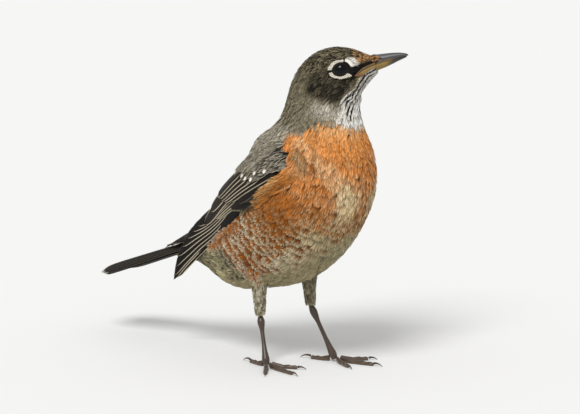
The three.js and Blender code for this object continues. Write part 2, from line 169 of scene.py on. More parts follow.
def thigh_rows(leg):
    """The rows of a thigh, from the hip to just past the ankle."""
    hip, ankle = np.array(leg["hip"], float), np.array(leg["ankle"], float)
    drop = (ankle - hip) / np.linalg.norm(ankle - hip)
    return limb_rows(hip, ankle + drop * ANKLE_COVER, THIGH_RADII, THIGH_COAT)


THIGHS = {side: thigh_rows(leg) for side, leg in LEGS.items()}


def rings_of(rows, steps, sides):
    """Rings of points round a form, sunk by the depth of its coat."""
    at = np.linspace(0, len(rows) - 1, (len(rows) - 1) * steps + 1)
    turn = np.arange(sides) * 2 * np.pi / sides
    a, t = np.meshgrid(at, turn, indexing="ij")
    return on_form(rows, a, t, -smooth_rows(rows, a)[..., COAT])


def closed_rings(rings):
    """Points and faces of a closed skin over rings that all have as many points."""
    count, sides = rings.shape[:2]
    r, s = np.meshgrid(np.arange(count - 1), np.arange(sides), indexing="ij")
    a = (r * sides + s).ravel()
    b = (r * sides + (s + 1) % sides).ravel()
    walls = np.stack([a, b, b + sides, a + sides], -1)
    hubs = np.array([rings[0].mean(0), rings[-1].mean(0)])
    s = np.arange(sides)
    n = (s + 1) % sides
    end = (count - 1) * sides
    first = np.stack([np.full(sides, count * sides), n, s], -1)
    last = np.stack([np.full(sides, count * sides + 1), end + s, end + n], -1)
    return np.concatenate([rings.reshape(-1, 3), hubs]), [walls, np.concatenate([first, last])]


def put_in_scene(name, data):
    """A new object of the scene, at the origin."""
    thing = bpy.data.objects.new(name, data)
    bpy.context.collection.objects.link(thing)
    return thing


def make_piece(name, points, face_sets):
    """A mesh object from points in millimetres, in the bird's own frame, and its faces."""
    mesh = bpy.data.meshes.new(name)
    points = (np.asarray(points, float).reshape(-1, 3) + HOME) * MM
    face_sets = [np.asarray(f, np.int32) for f in face_sets if len(f)]
    corners = np.concatenate([f.ravel() for f in face_sets])
    sizes = np.concatenate([np.full(len(f), f.shape[1]) for f in face_sets])
    starts = np.concatenate([[0], np.cumsum(sizes)[:-1]]).astype(np.int32)
    mesh.vertices.add(len(points))
    mesh.vertices.foreach_set("co", points.astype(np.float32).ravel())
    mesh.loops.add(len(corners))
    mesh.loops.foreach_set("vertex_index", corners)
    mesh.polygons.add(len(sizes))
    mesh.polygons.foreach_set("loop_start", starts)
    mesh.polygons.foreach_set("use_smooth", np.ones(len(sizes), bool))
    mesh.update(calc_edges=True)
    return put_in_scene(name, mesh)


def several(parts):
    """Points and faces of several bodies as one: each part is (points, face sets)."""
    points, faces, count = [], [], 0
    for part_points, part_faces in parts:
        points.append(part_points)
        faces += [np.asarray(f) + count for f in part_faces]
        count += len(part_points)
    return np.concatenate(points), faces


def fused(piece, voxel, smooth):
    """Fuses overlapping bodies into one smooth skin, and leaves a plain mesh."""
    remesh = piece.modifiers.new("fuse", "REMESH")
    remesh.mode = "VOXEL"
    remesh.voxel_size = voxel * MM
    relax = piece.modifiers.new("relax", "SMOOTH")
    relax.factor = 0.5
    relax.iterations = smooth
    evaluated = piece.evaluated_get(bpy.context.evaluated_depsgraph_get())
    plain = bpy.data.meshes.new_from_object(evaluated)
    piece.modifiers.clear()
    piece.data = plain
    plain.polygons.foreach_set("use_smooth", np.ones(len(plain.polygons), bool))
    return piece


def points_of(piece):
    """The piece's points in millimetres, in the bird's own frame."""
    flat = np.empty(len(piece.data.vertices) * 3, np.float32)
    piece.data.vertices.foreach_get("co", flat)
    return flat.reshape(-1, 3).astype(float) / MM - HOME


def linear(colour):
    """A colour as it looks, in hexadecimal, turned into the light that it gives back."""
    c = np.array([int(colour[k:k + 2], 16) / 255 for k in (0, 2, 4)])
    return np.where(c <= 0.04045, c / 12.92, ((c + 0.055) / 1.055) ** 2.4)


def ramp(value, start, end):
    """0 before start, 1 past end, smooth between; end may be the smaller."""
    t = np.clip((value - start) / (end - start), 0, 1)
    return t * t * (3 - 2 * t)


def mix(a, b, share):
    """One colour, or many, blended into another by a share."""
    return a + (b - a) * np.asarray(share)[..., None]


def tint(at, stations, colours):
    """The colour at a station, between those of a list."""
    return np.stack([np.interp(at, stations, [c[i] for c in colours]) for i in range(3)], -1)


def paint(piece, colours):
    """Gives each point of the piece its colour."""
    layer = piece.data.color_attributes.new("colour", "FLOAT_COLOR", "POINT")
    four = np.ones((len(colours), 4), np.float32)
    four[:, :3] = np.clip(colours, 0, 1)
    layer.data.foreach_set("color", four.ravel())


def dress(piece, colours, material, nodes=()):
    """Colours a piece, gives it its material and slot, and hangs it on the one body."""
    paint(piece, colours)
    piece.data.materials.append(material)
    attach(piece, "root")
    if nodes:
        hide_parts(*nodes)


# The colours of the plumage, as they look; an edge is the pale rim of a feather.
CROWN = linear("17130c")
CROWN_EDGE = linear("a99d7c")
FOREHEAD = linear("b58453")
CHEEK = linear("14110c")
CHEEK_EDGE = linear("7f765c")
NAPE = linear("625b49")
NAPE_EDGE = linear("928971")
NECK_SIDE = linear("b8ae9c")
MANTLE = linear("635c4c")
MANTLE_EDGE = linear("d8d0bc")
SPOT_BROWN = linear("844818")
SMUDGE = linear("7a704f")
WHITE = linear("f2eee4")
CREAM = linear("e0cfaa")
# The belly's white is written dull: white with painted shade of the underside in it.
BELLY_WHITE = linear("b2a884")
BLACK = linear("171412")
VENT_SHADE_GREY = linear("484639")
THIGH_GREY = linear("bfb8a2")
THIGH_DARK = linear("6a634f")
# The rufous is deepest low on the flanks and rear: partly its own tone, partly painted shade where
# the underside gets less light.
RUFOUS_AT = (2, 3.2, 4.4, 5.6, 6.6, 7.6, 8.8)
RUFOUS = [
    linear(c) for c in ("a3621e", "9a5814", "8e5010", "985719", "bf7430", "cd7d36", "d88c44")
]
FRINGE = [
    linear(c) for c in ("ddd3bd", "dcd0b6", "d0c3a4", "c8b58c", "dec69c", "e4ca9e", "ecca96")
]

# Where the marks lie, by station along the spine and by degrees off the middle of the back.
# First the edges of the rufous: to the back and to the neck.
RUFOUS_BACK = ((2, 3, 4.5, 5.8, 6.9, 7.5, 8, 8.4, 9), (84, 76, 73, 84, 91, 88, 80, 72, 78))
RUFOUS_TOP = (
    (80, 93, 99, 110, 120, 133, 148, 160, 178),
    (8.35, 8.5, 8.86, 9.12, 9.36, 9.38, 9.32, 9.12, 9.15),
)
BREAST_FRINGE = ((2, 3, 4.5, 5.6, 6.4, 7.2, 8, 9), (1, 1, 1, 0.85, 0.6, 0.52, 0.3, 0.3))
BELLY_FROM = (
    (1.5, 2.4, 2.7, 3.0, 3.5, 4.2, 4.8, 5.4, 5.7, 6.2),
    (70, 98, 118, 138, 142, 141, 150, 161, 172, 186),
)
BELLY_TOP = (6.6, 6.0)
# Bands across the breast: (degrees, station) from point to point.
PALE_BAND = (
    (97, 8.2), (109, 7.88), (127, 7.62), (136, 7.5), (147, 7.16), (157, 6.8), (158, 6.5),
)
GREY_BAND = ((99, 7.74), (104, 7.52), (111, 7.34))
BAND_STRETCH = 20  # degrees that count as one station
# A pale patch low on the breast: partly its own pale feathers, partly painted light where the sun
# falls.
PALE_AND_LIT_PATCH = (6.7, 0.5, 160, 14)  # low on the breast: its station and degrees, each with a spread
NECK_PATCH = (10.0, 0.45, 120, 28)
# Zones: pairs of degrees, then of stations, from where a mark starts to where it is full.
COLLAR = ((95, 118), (8.5, 9.15))
UPPER_FRINGE = ((138, 158), (8.4, 7.9))
PLAIN_FLANK = ((126, 112), (4.8, 5.1), (6.6, 6.2))
SPOTTED = ((122, 136), (5.9, 5.5), (3.6, 4.1))
VENT = ((92, 104), (3.0, 2.8))
# Painted shade on the vent: a grey patch on its sides, and grey under the tail by station.
VENT_SHADE_PATCH = ((146, 136), (2.25, 2.4))
UNDER_TAIL_SHADE = (2.15, 2.0)
THROAT_FOOT = ((126, 138), (8.9, 9.2))
THROAT = ((88, 96), (9.35, 9.55))
NAPE_START = (8.4, 8.9)
CHEEK_START = (52, 72)
HOOD_START = ((10.7, 11.6), (10.5, 10.85))  # on the crown, and on the side of the head
HOOD_LOW = (130, 120)
# The throat: its side in degrees by station, its first streak, the step to the next, and how
# far from the back its white middle starts.
THROAT_SIDE = ((9.3, 9.54, 10.04, 10.94, 11.6), (186, 158, 148, 134, 129))
FIRST_STREAK = ((10.8, 11.5, 12.3, 13.2, 13.8, 14.4, 16), (128, 126, 131, 131, 121, 112, 104))
STREAK_STEP = ((9.5, 11.7, 13.4, 14.2, 15.5), (8.5, 8.5, 6.5, 5.5, 5.0))
WHITE_FROM = ((9.5, 11, 12.7, 14, 15.5), (166, 158, 152, 146, 138))

# The marks of the face, in millimetres ahead of the eye and above it, along the bill's line.
HEAD_PITCH = 17.5
HEAD_TURN = 32
SPOT = (7.8, 1.9)
SPOT_TILT = -35
SPOT_LONG = 4.1
SPOT_WIDE = 2.3
MALAR = ((10.9, -7.6), (7.6, -10.2), (4.8, -13.7), (1.9, -15.7), (-1.7, -16.4), (-5.4, -19.3))
MALAR_WIDE = 0.6
THROAT_LINE = (
    (19.8, -6.0), (16.9, -6.3), (12.1, -7.4), (8.8, -10.1), (5.6, -12.8), (0.6, -17.9), (-2, -20),
)
THROAT_STEP = 2.0
JAW_LINES = (11.6, 12.4)  # stations where the streaks turn to follow the jaw
LORES_TOP = ((4, 6.4, 9.5, 13.9, 18.5), (0.8, 0.3, -0.7, -1.3, -1.5))
LIP = ((7.2, 9.4, 12.8, 15.8, 19.8), (-6.3, -4.9, -3.4, -3.1, -2.9))
MOUTH = ((7.2, 9.2, 12.8, 16, 19.8), (-6.5, -5.5, -4.7, -4.3, -4.3))
CHIN = ((7.2, 9.5, 11.8, 14.7, 17.8, 19.8), (-6.7, -7.9, -8.0, -6.8, -6.0, -6.0))
MOUTH_CORNER = 7.2
EYE_AHEAD_TILT = 9
EYE_UP_TILT = 13
EYE_OPEN = 4.4
LID_WIDE = 0.9
EYE_FLAT = 0.9  # the opening's height and length over its radius
EYE_LONG = 1.13
EYE_SHIFT = (0.5, -0.8)  # ahead and up from the middle of the node's ball
RIM_HEIGHT = math.sqrt(EYE_RADIUS ** 2 - EYE_OPEN ** 2)


def head_place(place):
    """How far points lie ahead of the eyes, to the left of them and above them."""
    past = place - (eye_centre(LEFT) + eye_centre(RIGHT)) / 2
    return tuple(past @ way for way in ways(HEAD_PITCH, HEAD_TURN))


def eye_ways(side):
    """Out of the eye, ahead of it and above it."""
    ahead, left, up = ways(HEAD_PITCH, HEAD_TURN)
    a, b = math.radians(EYE_AHEAD_TILT), math.radians(EYE_UP_TILT)
    level = left * side * math.cos(a) * math.cos(b) + ahead * math.sin(a) * math.cos(b)
    out = level + up * math.sin(b)
    front = ahead - out * (ahead @ out)
    front /= np.linalg.norm(front)
    return out, front, np.cross(front, out) * side


def eye_middle(side):
    """The middle of the eye as it shows between the lids."""
    _, front, up = eye_ways(side)
    return eye_centre(side) + front * EYE_SHIFT[0] + up * EYE_SHIFT[1]


def eye_place(side, place):
    """How far points lie out of the eye, and how far round it they lie from its middle."""
    out, front, up = eye_ways(side)
    past = place - eye_middle(side)
    x, y = past @ front, past @ up
    return past @ out, np.hypot(x / EYE_LONG, y / EYE_FLAT), np.arctan2(y, x)


def round_lids(place):
    """Points of skin or coat, drawn in to the lids where they lie close round an eye."""
    for side in (LEFT, RIGHT):
        out = eye_ways(side)[0]
        height, away, _ = eye_place(side, place)
        dent = ramp(away, 9.5, 5.6) * 0.8 * np.maximum(height - RIM_HEIGHT + 0.2, 0)
        place = place - out * dent[..., None]
    return place


def white_spot(place, chance=0.5):
    """1 on the white spot that lies before and above each eye."""
    ahead, side, rise = head_place(place)
    tilt = math.radians(SPOT_TILT)
    u = (ahead - SPOT[0]) * math.cos(tilt) + (rise - SPOT[1]) * math.sin(tilt)
    v = (rise - SPOT[1]) * math.cos(tilt) - (ahead - SPOT[0]) * math.sin(tilt)
    off = np.hypot(u / SPOT_LONG, v / SPOT_WIDE) + 0.2 * (chance - 0.5)
    return ramp(off, 1.05, 0.85) * ramp(np.abs(side), 4, 6)


def bare_face(place):
    """True on the eyes and on the bare corners of the mouth."""
    ahead, side, rise = head_place(place)
    above_chin = rise > np.interp(ahead, *CHIN) + 0.2
    bare = (ahead > 7.4) & (rise < np.interp(ahead, *LIP)) & above_chin & (np.abs(side) > 2.5)
    for sign in (LEFT, RIGHT):
        height, away, _ = eye_place(sign, place)
        bare |= (height > 0) & (away < EYE_OPEN + LID_WIDE)
    return bare


def from_line(x, y, line):
    """Distance of points from a bent line, and on which side of it they lie."""
    best = np.full(np.shape(x), 1e9)
    side = np.zeros(np.shape(x))
    for (x0, y0), (x1, y1) in zip(line[:-1], line[1:]):
        wx, wy = x1 - x0, y1 - y0
        t = np.clip(((x - x0) * wx + (y - y0) * wy) / (wx * wx + wy * wy), 0, 1)
        gap = np.hypot(x - x0 - t * wx, y - y0 - t * wy)
        side = np.where(gap < best, np.sign(wx * (y - y0) - wy * (x - x0)), side)
        best = np.minimum(best, gap)
    return best, side


def from_band(at, off, band):
    """Distance from a band across the breast, in stations."""
    line = [(degrees / BAND_STRETCH, station) for degrees, station in band]
    return from_line(off / BAND_STRETCH, at, line)[0]


def off_back(turn):
    """Degrees from the middle of the back."""
    return np.degrees(np.abs(np.arctan2(np.cos(turn), np.sin(turn))))


def zone(at, off, degrees, *stations):
    """How far a place lies within a mark: 0 out of it, 1 well inside."""
    share = ramp(off, *degrees)
    for pair in stations:
        share = share * ramp(at, *pair)
    return share


def blob(at, off, patch, power):
    """A round patch that fades out: its station and degrees, each with its spread."""
    station, long, degrees, wide = patch
    return np.exp(-(((at - station) / long) ** power) - ((off - degrees) / wide) ** power)


def over(look, share, colour, edge, fringe=None):
    """Lays a marking over the last ones: its colour, its edge, and its fringe where it rules."""
    old_colour, old_edge, old_fringe = look
    if fringe is not None:
        old_fringe = np.where(share > 0.5, fringe, old_fringe)
    return mix(old_colour, colour, share), mix(old_edge, edge, share), old_fringe


def breast_look(at, off, chance, look):
    """Rufous breast and flanks, deepest on the flanks, partly their own tone and partly painted
    shade low on the body; each feather ends in a pale fringe.
    """
    back = np.interp(at, *RUFOUS_BACK)
    top = np.interp(off, *RUFOUS_TOP)
    rufous = ramp(off + 6 * (chance - 0.5), back - 3, back + 3)
    rufous = rufous * ramp(at + 0.36 * (chance - 0.5), top + 0.1, top - 0.1)
    breast = tint(at, RUFOUS_AT, RUFOUS) * (0.8 + 0.4 * chance)[..., None]
    pale = tint(at, RUFOUS_AT, FRINGE)
    band = ramp(from_band(at, off, PALE_BAND), 0.5, 0.12)
    smudge = ramp(from_band(at, off, GREY_BAND), 0.24, 0.06)
    # Painted light in part: the pale patch brightens the breast where the sun falls.
    patch = blob(at, off, PALE_AND_LIT_PATCH, 2)
    paleness = 0.45 * band * chance + 0.7 * patch + 0.3 * zone(at, off, *COLLAR)
    breast = mix(breast, pale, np.clip(paleness, 0, 1))
    breast = mix(breast, SMUDGE, 0.7 * smudge)
    plain = zone(at, off, *PLAIN_FLANK) + ramp(off, back + 18, back + 12) * ramp(at, 4.2, 3.9)
    share = np.interp(at, *BREAST_FRINGE) - 0.5 * plain + 0.25 * zone(at, off, *UPPER_FRINGE)
    share = share + 0.4 * band + 0.6 * patch - 0.25 * chance
    colour, edge, fringe = over(look, rufous, breast, pale, share)

    # Low on the breast, some feathers are spotted.
    spotted = zone(at, off, *SPOTTED) * rufous
    pale_spot = mix(pale, BELLY_WHITE, 0.5) * 0.9
    spot = np.where(chance[..., None] > 0.55, pale_spot, SPOT_BROWN)
    colour = mix(colour, spot, 0.95 * spotted)
    return rufous, (colour, edge, np.where(spotted > 0.5, 1.15, fringe))


def belly_look(at, off, chance, look):
    """The white lower belly, and the vent: white, with grey painted shade on its sides, broken up
    at random, and under the tail.
    """
    low = np.interp(at, *BELLY_FROM)
    belly = ramp(off + 14 * (chance - 0.5), low - 4, low + 4) * ramp(at, *BELLY_TOP)
    look = over(look, belly, BELLY_WHITE, BELLY_WHITE)
    vent = zone(at + 0.2 * (chance - 0.5), off, *VENT)
    # Painted shade: grey on the vent's sides and under the tail, with its edges dulled to match.
    shade = zone(at, off, *VENT_SHADE_PATCH) * ramp(chance, -0.2, 0.2)
    shade = np.clip(shade + 0.85 * ramp(at, *UNDER_TAIL_SHADE), 0, 1)
    edge = BELLY_WHITE * (1.15 - 0.4 * shade)[..., None]
    return over(look, vent, mix(BELLY_WHITE * 1.15, VENT_SHADE_GREY, shade), edge, 1.0)


def neck_look(at, off, chance, rufous, look):
    """The white foot of the throat, the grey-brown nape, and the pale side of the neck."""
    white = zone(at, off, *THROAT_FOOT) * (1 - rufous)
    look = over(look, white, WHITE, WHITE)
    nape = ramp(at, *NAPE_START) * (1 - rufous) * (1 - white)
    colour, edge, fringe = over(look, nape, mix(NAPE, NAPE_EDGE, 0.6 * chance), NAPE_EDGE, 0.5)
    neck = blob(at, off, NECK_PATCH, 4) * (1 - rufous)
    pale_neck = mix(NECK_SIDE, mix(NAPE, WHITE, 0.75 * chance), 0.5)
    return mix(colour, pale_neck, 0.9 * neck), mix(edge, WHITE, 0.6 * neck), fringe


def hood_look(at, off, ahead, rise, chance, look):
    """The blackish head, browner on the crown and reddish over the bill."""
    cheek = ramp(off, *CHEEK_START)
    hood = np.where(off < 62, *(ramp(at, *pair) for pair in HOOD_START))
    hood = hood * ramp(off - 5 * (11.3 - at), *HOOD_LOW)
    head = mix(CROWN, CHEEK, cheek)
    head_edge = mix(CROWN_EDGE, CHEEK_EDGE, cheek)
    crown_fringe = 0.4 + 0.6 * ramp(chance, 0.1, 0.7)
    cheek_fringe = 0.2 + 0.6 * ramp(chance, 0.2, 0.9)
    fringe = crown_fringe + (cheek_fringe - crown_fringe) * cheek
    head = mix(head, head_edge, 0.3 * chance ** 2)
    colour, edge, fringe = over(look, hood, head, head_edge, fringe)
    front = ramp(ahead + 8 * (chance - 0.5), 8.5, 14) * ramp(rise, -1.2, 0.8)
    reddish = mix(FOREHEAD * 0.3, FOREHEAD * 1.2, ramp(chance, 0.2, 0.9))
    return mix(colour, reddish, 0.9 * front), mix(edge, FOREHEAD * 1.5, 0.8 * front), fringe


def throat_look(at, off, ahead, rise, chance, look):
    """The white throat with black streaks, whitest down the middle, and a line along its top."""
    gap, below = from_line(ahead, rise, MALAR)
    below = np.where(below > 0, 1.0, 0.0)
    side = np.interp(at, *THROAT_SIDE)
    chin = np.interp(ahead, *CHIN)
    throat = np.where(at > 11.3, below, ramp(off, side - 2, side + 2))
    throat = np.where(ahead > 10.9, ramp(rise, chin + 0.8, chin + 0.2), throat)
    throat = throat * zone(at, off, *THROAT)
    waves = (off - np.interp(at, *FIRST_STREAK)) / np.interp(at, *STREAK_STEP)
    lines = np.cos(2 * np.pi * waves + 0.5 * np.sin(at * 3) + 0.5 * (chance - 0.5))
    beside, _ = from_line(ahead, rise, THROAT_LINE)
    along_jaw = np.cos(2 * np.pi * beside / THROAT_STEP + 0.9 * (chance - 0.5)) + 0.12 * beside
    lines = lines + (along_jaw - lines) * ramp(at, *JAW_LINES)
    white_from = np.interp(at, *WHITE_FROM)
    middle = ramp(off, white_from - 3, white_from + 6)
    streaks = mix(WHITE, BLACK, ramp(lines, 0.15, -0.3) * (1 - 0.92 * middle))
    colour, edge, fringe = over(look, throat, streaks, streaks, 0.0)

    # A pale line from the corner of the mouth, with a black one under it.
    line = ramp(gap, MALAR_WIDE + 0.1, MALAR_WIDE - 0.3) * ramp(at, 10.5, 10.9)
    under = ramp(np.abs(gap - 1.3), 0.6, 0.3) * below * ramp(at, 10.9, 11.3)
    colour = mix(colour, BLACK, 0.9 * under * throat)
    return line, (mix(colour, mix(WHITE, CREAM, ramp(ahead, 0, 8)), line), edge, fringe)


def plumage(at, turn, place, chance):
    """Colour, edge colour and how much of the edge shows, over the body and head."""
    off = off_back(turn)
    ahead, side, rise = head_place(place)
    colour = mix(MANTLE, MANTLE_EDGE, 0.3 * chance)
    look = (colour, MANTLE_EDGE + 0 * colour, 0.45 + 0 * at)
    rufous, look = breast_look(at, off, chance, look)
    look = belly_look(at, off, chance, look)
    look = neck_look(at, off, chance, rufous, look)
    look = hood_look(at, off, ahead, rise, chance, look)
    line, (colour, edge, fringe) = throat_look(at, off, ahead, rise, chance, look)

    # Black lores, a white spot before the eye, and dark feathers round the lids.
    lip = np.interp(ahead, *LIP)
    top = np.interp(ahead, *LORES_TOP)
    lores = ramp(rise, lip - 0.4, lip + 0.1) * ramp(rise, top + 0.3, top - 0.3)
    lores = lores * ramp(ahead, 3.2, 4.4) * ramp(np.abs(side), 2.5, 4)
    colour = mix(colour, BLACK, 0.95 * lores)
    lids = 0 * ahead
    for sign in (LEFT, RIGHT):
        height, away, _ = eye_place(sign, place)
        lids = np.maximum(lids, ramp(away, 6.0, 5.2) * (height > 0))
    colour = mix(colour, CHEEK, lids)
    spot = white_spot(place, chance)
    colour = mix(colour, mix(WHITE, CREAM, 0.25), spot)
    marked = np.clip(spot + lids + line + lores, 0, 1)
    return colour, mix(edge, colour, marked), fringe * (1 - marked)


def search_tree(points):
    """A tree to look up points by place."""
    tree = kdtree.KDTree(len(points))
    for i, point in enumerate(points):
        tree.insert(point, i)
    tree.balance()
    return tree


def nearest_on(rows, points, steps, sides):
    """The station and turn on a form that lie nearest to each point."""
    at = np.linspace(0, len(rows) - 1, (len(rows) - 1) * steps + 1)
    a, t = np.meshgrid(at, np.arange(sides) * 2 * np.pi / sides, indexing="ij")
    grid = on_form(rows, a, t).reshape(-1, 3)
    tree = search_tree(grid)
    found = np.array([tree.find(p)[1] for p in points])
    gap = np.linalg.norm(points - grid[found], axis=1)
    return a.ravel()[found], t.ravel()[found], gap


def plumage_near(place, chance, steps, sides):
    """The body's plumage at the nearest places on it, and how far off they are."""
    at, turn, gap = nearest_on(BODY, place.reshape(-1, 3), steps, sides)
    at, turn = at.reshape(chance.shape), turn.reshape(chance.shape)
    return (*plumage(at, turn, place, chance), gap)


def socket(tree, kind, **values):
    """A node of a material with its inputs set by name."""
    node = tree.nodes.new(kind)
    for key, value in values.items():
        node.inputs[key.replace("_", " ")].default_value = value
    return node


def painted_material(name, roughness, grain, bump=0.0, shine=0.2):
    """Takes its colour from the piece's points, broken up by a fine grain."""
    material = bpy.data.materials.new(name)
    material.use_nodes = True
    tree = material.node_tree
    shader = tree.nodes["Principled BSDF"]
    shader.inputs["Roughness"].default_value = roughness
    shader.inputs["Specular IOR Level"].default_value = shine
    layer = tree.nodes.new("ShaderNodeVertexColor")
    layer.layer_name = "colour"
    place = tree.nodes.new("ShaderNodeTexCoord")
    noise = socket(tree, "ShaderNodeTexNoise", Scale=grain, Detail=3.0)
    tree.links.new(place.outputs["Object"], noise.inputs["Vector"])
    level = tree.nodes.new("ShaderNodeMapRange")
    level.inputs["To Min"].default_value = 0.8
    level.inputs["To Max"].default_value = 1.2
    tree.links.new(noise.outputs["Fac"], level.inputs["Value"])
    scale = tree.nodes.new("ShaderNodeVectorMath")
    scale.operation = "SCALE"
    tree.links.new(layer.outputs["Color"], scale.inputs[0])
    tree.links.new(level.outputs["Result"], scale.inputs["Scale"])
    tree.links.new(scale.outputs["Vector"], shader.inputs["Base Color"])
    if bump:
        relief = socket(tree, "ShaderNodeBump", Strength=bump, Distance=0.0003)
        tree.links.new(noise.outputs["Fac"], relief.inputs["Height"])
        tree.links.new(relief.outputs["Normal"], shader.inputs["Normal"])
    return material


def toe_rows(length):
    """The rows of a toe along X, its sole on the floor, swollen at each joint's pad."""
    rows = []
    for share, girth in zip(TOE_PLACES, TOE_GIRTHS):
        half = TOE_WIDE * girth
        rise = TOE_ROOT_RISE * max(0, 1 - share / TOE_PLACES[2])
        z = half * (1 - TOE_SUNK) + rise
        rows.append((share * length, 0, z, 0, 0, half, half * TOE_HIGH, half + rise, 0))
    return np.array(rows)


def placed(points, foot, heading, swing, start):
    """Moves a toe's or claw's points to its place on the foot."""
    angle = math.radians(heading + swing)
    moved = points + (start, 0, 0)
    x = moved[..., 0] * math.cos(angle) - moved[..., 1] * math.sin(angle) + foot[0]
    y = moved[..., 0] * math.sin(angle) + moved[..., 1] * math.cos(angle) + foot[1]
    return np.stack([x, y, moved[..., 2]], -1)


def toes_of(side):
    """The toes of one foot: name, length, claw, and where and which way each one lies."""
    mirror = RIGHT if side == "left" else LEFT
    foot = LEGS[side]["foot"]
    return [
        (name, length, claw, (foot, HEADING[side], swing * mirror))
        for name, length, swing, claw in TOES
    ]


flesh = [closed_rings(rings_of(BODY, 5, 72))]
flesh += [closed_rings(rings_of(rows, 3, 24)) for rows in THIGHS.values()]
skin = fused(make_piece("skin", *several(flesh)), SKIN_VOXEL, 4)
bare_points = points_of(skin)
even = np.full(len(bare_points), 0.5)
skin_colour, _, _, gap = plumage_near(bare_points, even, 8, 96)
skin_colour = mix(skin_colour, THIGH_GREY, ramp(gap, *THIGH_FADE))
drawn_in = (round_lids(bare_points) + HOME) * MM
skin.data.vertices.foreach_set("co", drawn_in.astype(np.float32).ravel())
# Painted shade: the skin is painted the coat's colour, darkened.
paint(skin, skin_colour * SKIN_PAINTED_SHADE)
skin.data.materials.append(painted_material("feathered skin", 0.9, 900))

scaly = []
for side, leg in LEGS.items():
    tarsus = limb_rows(leg["ankle"], (*leg["foot"], TARSUS_END), TARSUS_RADII)
    scaly.append(closed_rings(rings_of(tarsus, 4, 20)))
    for name, length, claw, lie in toes_of(side):
        rings = rings_of(toe_rows(length), 4, 20)
        rings[..., 2] = np.maximum(rings[..., 2], 0.0)
        scaly.append(closed_rings(placed(rings, *lie, TOE_START)))
bare = fused(make_piece("bare_legs", *several(scaly)), LEG_VOXEL, 2)
LEG_BROWN = linear("4a3c31")
LEG_PALE = linear("7a6450")
paint(bare, mix(LEG_BROWN, LEG_PALE, ramp(points_of(bare)[:, 2], 2.5, 0.3) * 0.6))
bare.data.materials.append(painted_material("scaly leg", 0.32, 500, bump=0.4, shine=0.5))
with bpy.context.temp_override(active_object=skin, selected_editable_objects=[skin, bare]):
    bpy.ops.object.join()
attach(skin, "root")
FLESH = ["head", "neck", "trunk"]
FLESH += [f"{part}_{side}" for part in ("shank", "tarsus") for side in LEGS]
FLESH += [f"toe_{side}_{toe[0]}" for side in LEGS for toe in TOES]
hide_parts(*FLESH)


# ---- The coat ----
# Contour feathers cover the skin in rows that point to the tail. Each is a soft fan of barbs
# that hold together in locks, darker at the root, partly their own down-grey and partly painted
# shade from the feathers over them; they are smallest on the face.
PATCH = 0.003  # of the map, across one feather
FULL_TURN = (0, 2 * np.pi)
SPREAD_TRIALS = 160000
FEATHER_STEPS = 4
FAN = 0.8  # how soon the locks of a feather lean out to their places
SHINE_LIMIT = 1.45
# A lock's sections from its root to its tip, and how wide it is at each.
LOCK_SHAPES = {
    3: ((0, 0.6, 1), (0.7, 1, 0)),
    4: ((0, 0.35, 0.78, 1), (0.55, 1, 0.85, 0)),
    5: ((0, 0.3, 0.7, 0.86, 1), (0.55, 1, 1, 0.85, 0)),
}


def surface_of(rows):
    """The surface of a form, as a function of station, turn and height over it."""
    def surface(at, turn, height=0.0):
        return on_form(rows, at, turn, height)
    return surface


def at_station(values, at):
    """Values by station: from a plain number, or from a table of stations and values."""
    return np.interp(at, *values) if isinstance(values, tuple) else values + 0 * at


def body_depth(at):
    """The depth of the coat on the body."""
    return smooth_rows(BODY, np.clip(at, 0, len(BODY) - 1))[..., COAT]


def spread_roots(surface, low, high, spacing, seed, keep=None, around=FULL_TURN):
    """Roots spread evenly on a form, none nearer to another than the spacing there."""
    chance = np.random.default_rng(seed)
    at = chance.uniform(low, high, SPREAD_TRIALS)
    turn = chance.uniform(*around, len(at))
    here = surface(at, turn)
    nudge = 0.02
    down = surface(at - nudge, turn) - here
    aside = surface(at, turn + nudge) - here
    area = np.linalg.norm(np.cross(down, aside), axis=1) / nudge ** 2
    gap = at_station(spacing, at)
    weight = area / gap ** 2
    if keep is not None:
        weight = weight * keep(at, turn)
    wanted = 3.2 * weight.mean() * (high - low) * (around[1] - around[0])
    tries = int(min(wanted, (weight > 0).sum()))
    picked = chance.choice(len(at), tries, replace=False, p=weight / weight.sum())
    tree = search_tree(here[picked])
    free = np.ones(tries, bool)
    chosen = []
    for i in range(tries):
        if free[i]:
            chosen.append(picked[i])
            for _, j, _ in tree.find_range(here[picked[i]], gap[picked[i]]):
                free[j] = False
    return at[chosen], turn[chosen]


def run_back(surface, at, turn, lean, length):
    """Follows each feather over the form from its root towards the tail."""
    nudge = 0.05
    step = length / FEATHER_STEPS
    path_at, path_turn = [at], [turn]
    for _ in range(FEATHER_STEPS):
        a, t = path_at[-1], path_turn[-1]
        here = surface(a, t)
        per_station = np.linalg.norm(surface(a - nudge, t) - here, axis=-1) / nudge
        per_turn = np.linalg.norm(surface(a, t + nudge) - here, axis=-1) / nudge
        path_at.append(a - step * np.cos(lean) / per_station)
        path_turn.append(t + step * np.sin(lean) / np.maximum(per_turn, 1))
    return np.stack(path_at, -1), np.stack(path_turn, -1)


def lock_faces(locks, sections):
    """The faces of locks that each have two points a section and one at the tip."""
    per = 2 * sections - 1
    first = (np.arange(locks) * per)[:, None]
    corners = [np.array([2 * i, 2 * i + 1, 2 * i + 3, 2 * i + 2]) for i in range(sections - 2)]
    quads = np.concatenate([first + c for c in corners])
    return [quads, first + np.array([per - 3, per - 2, per - 1])]


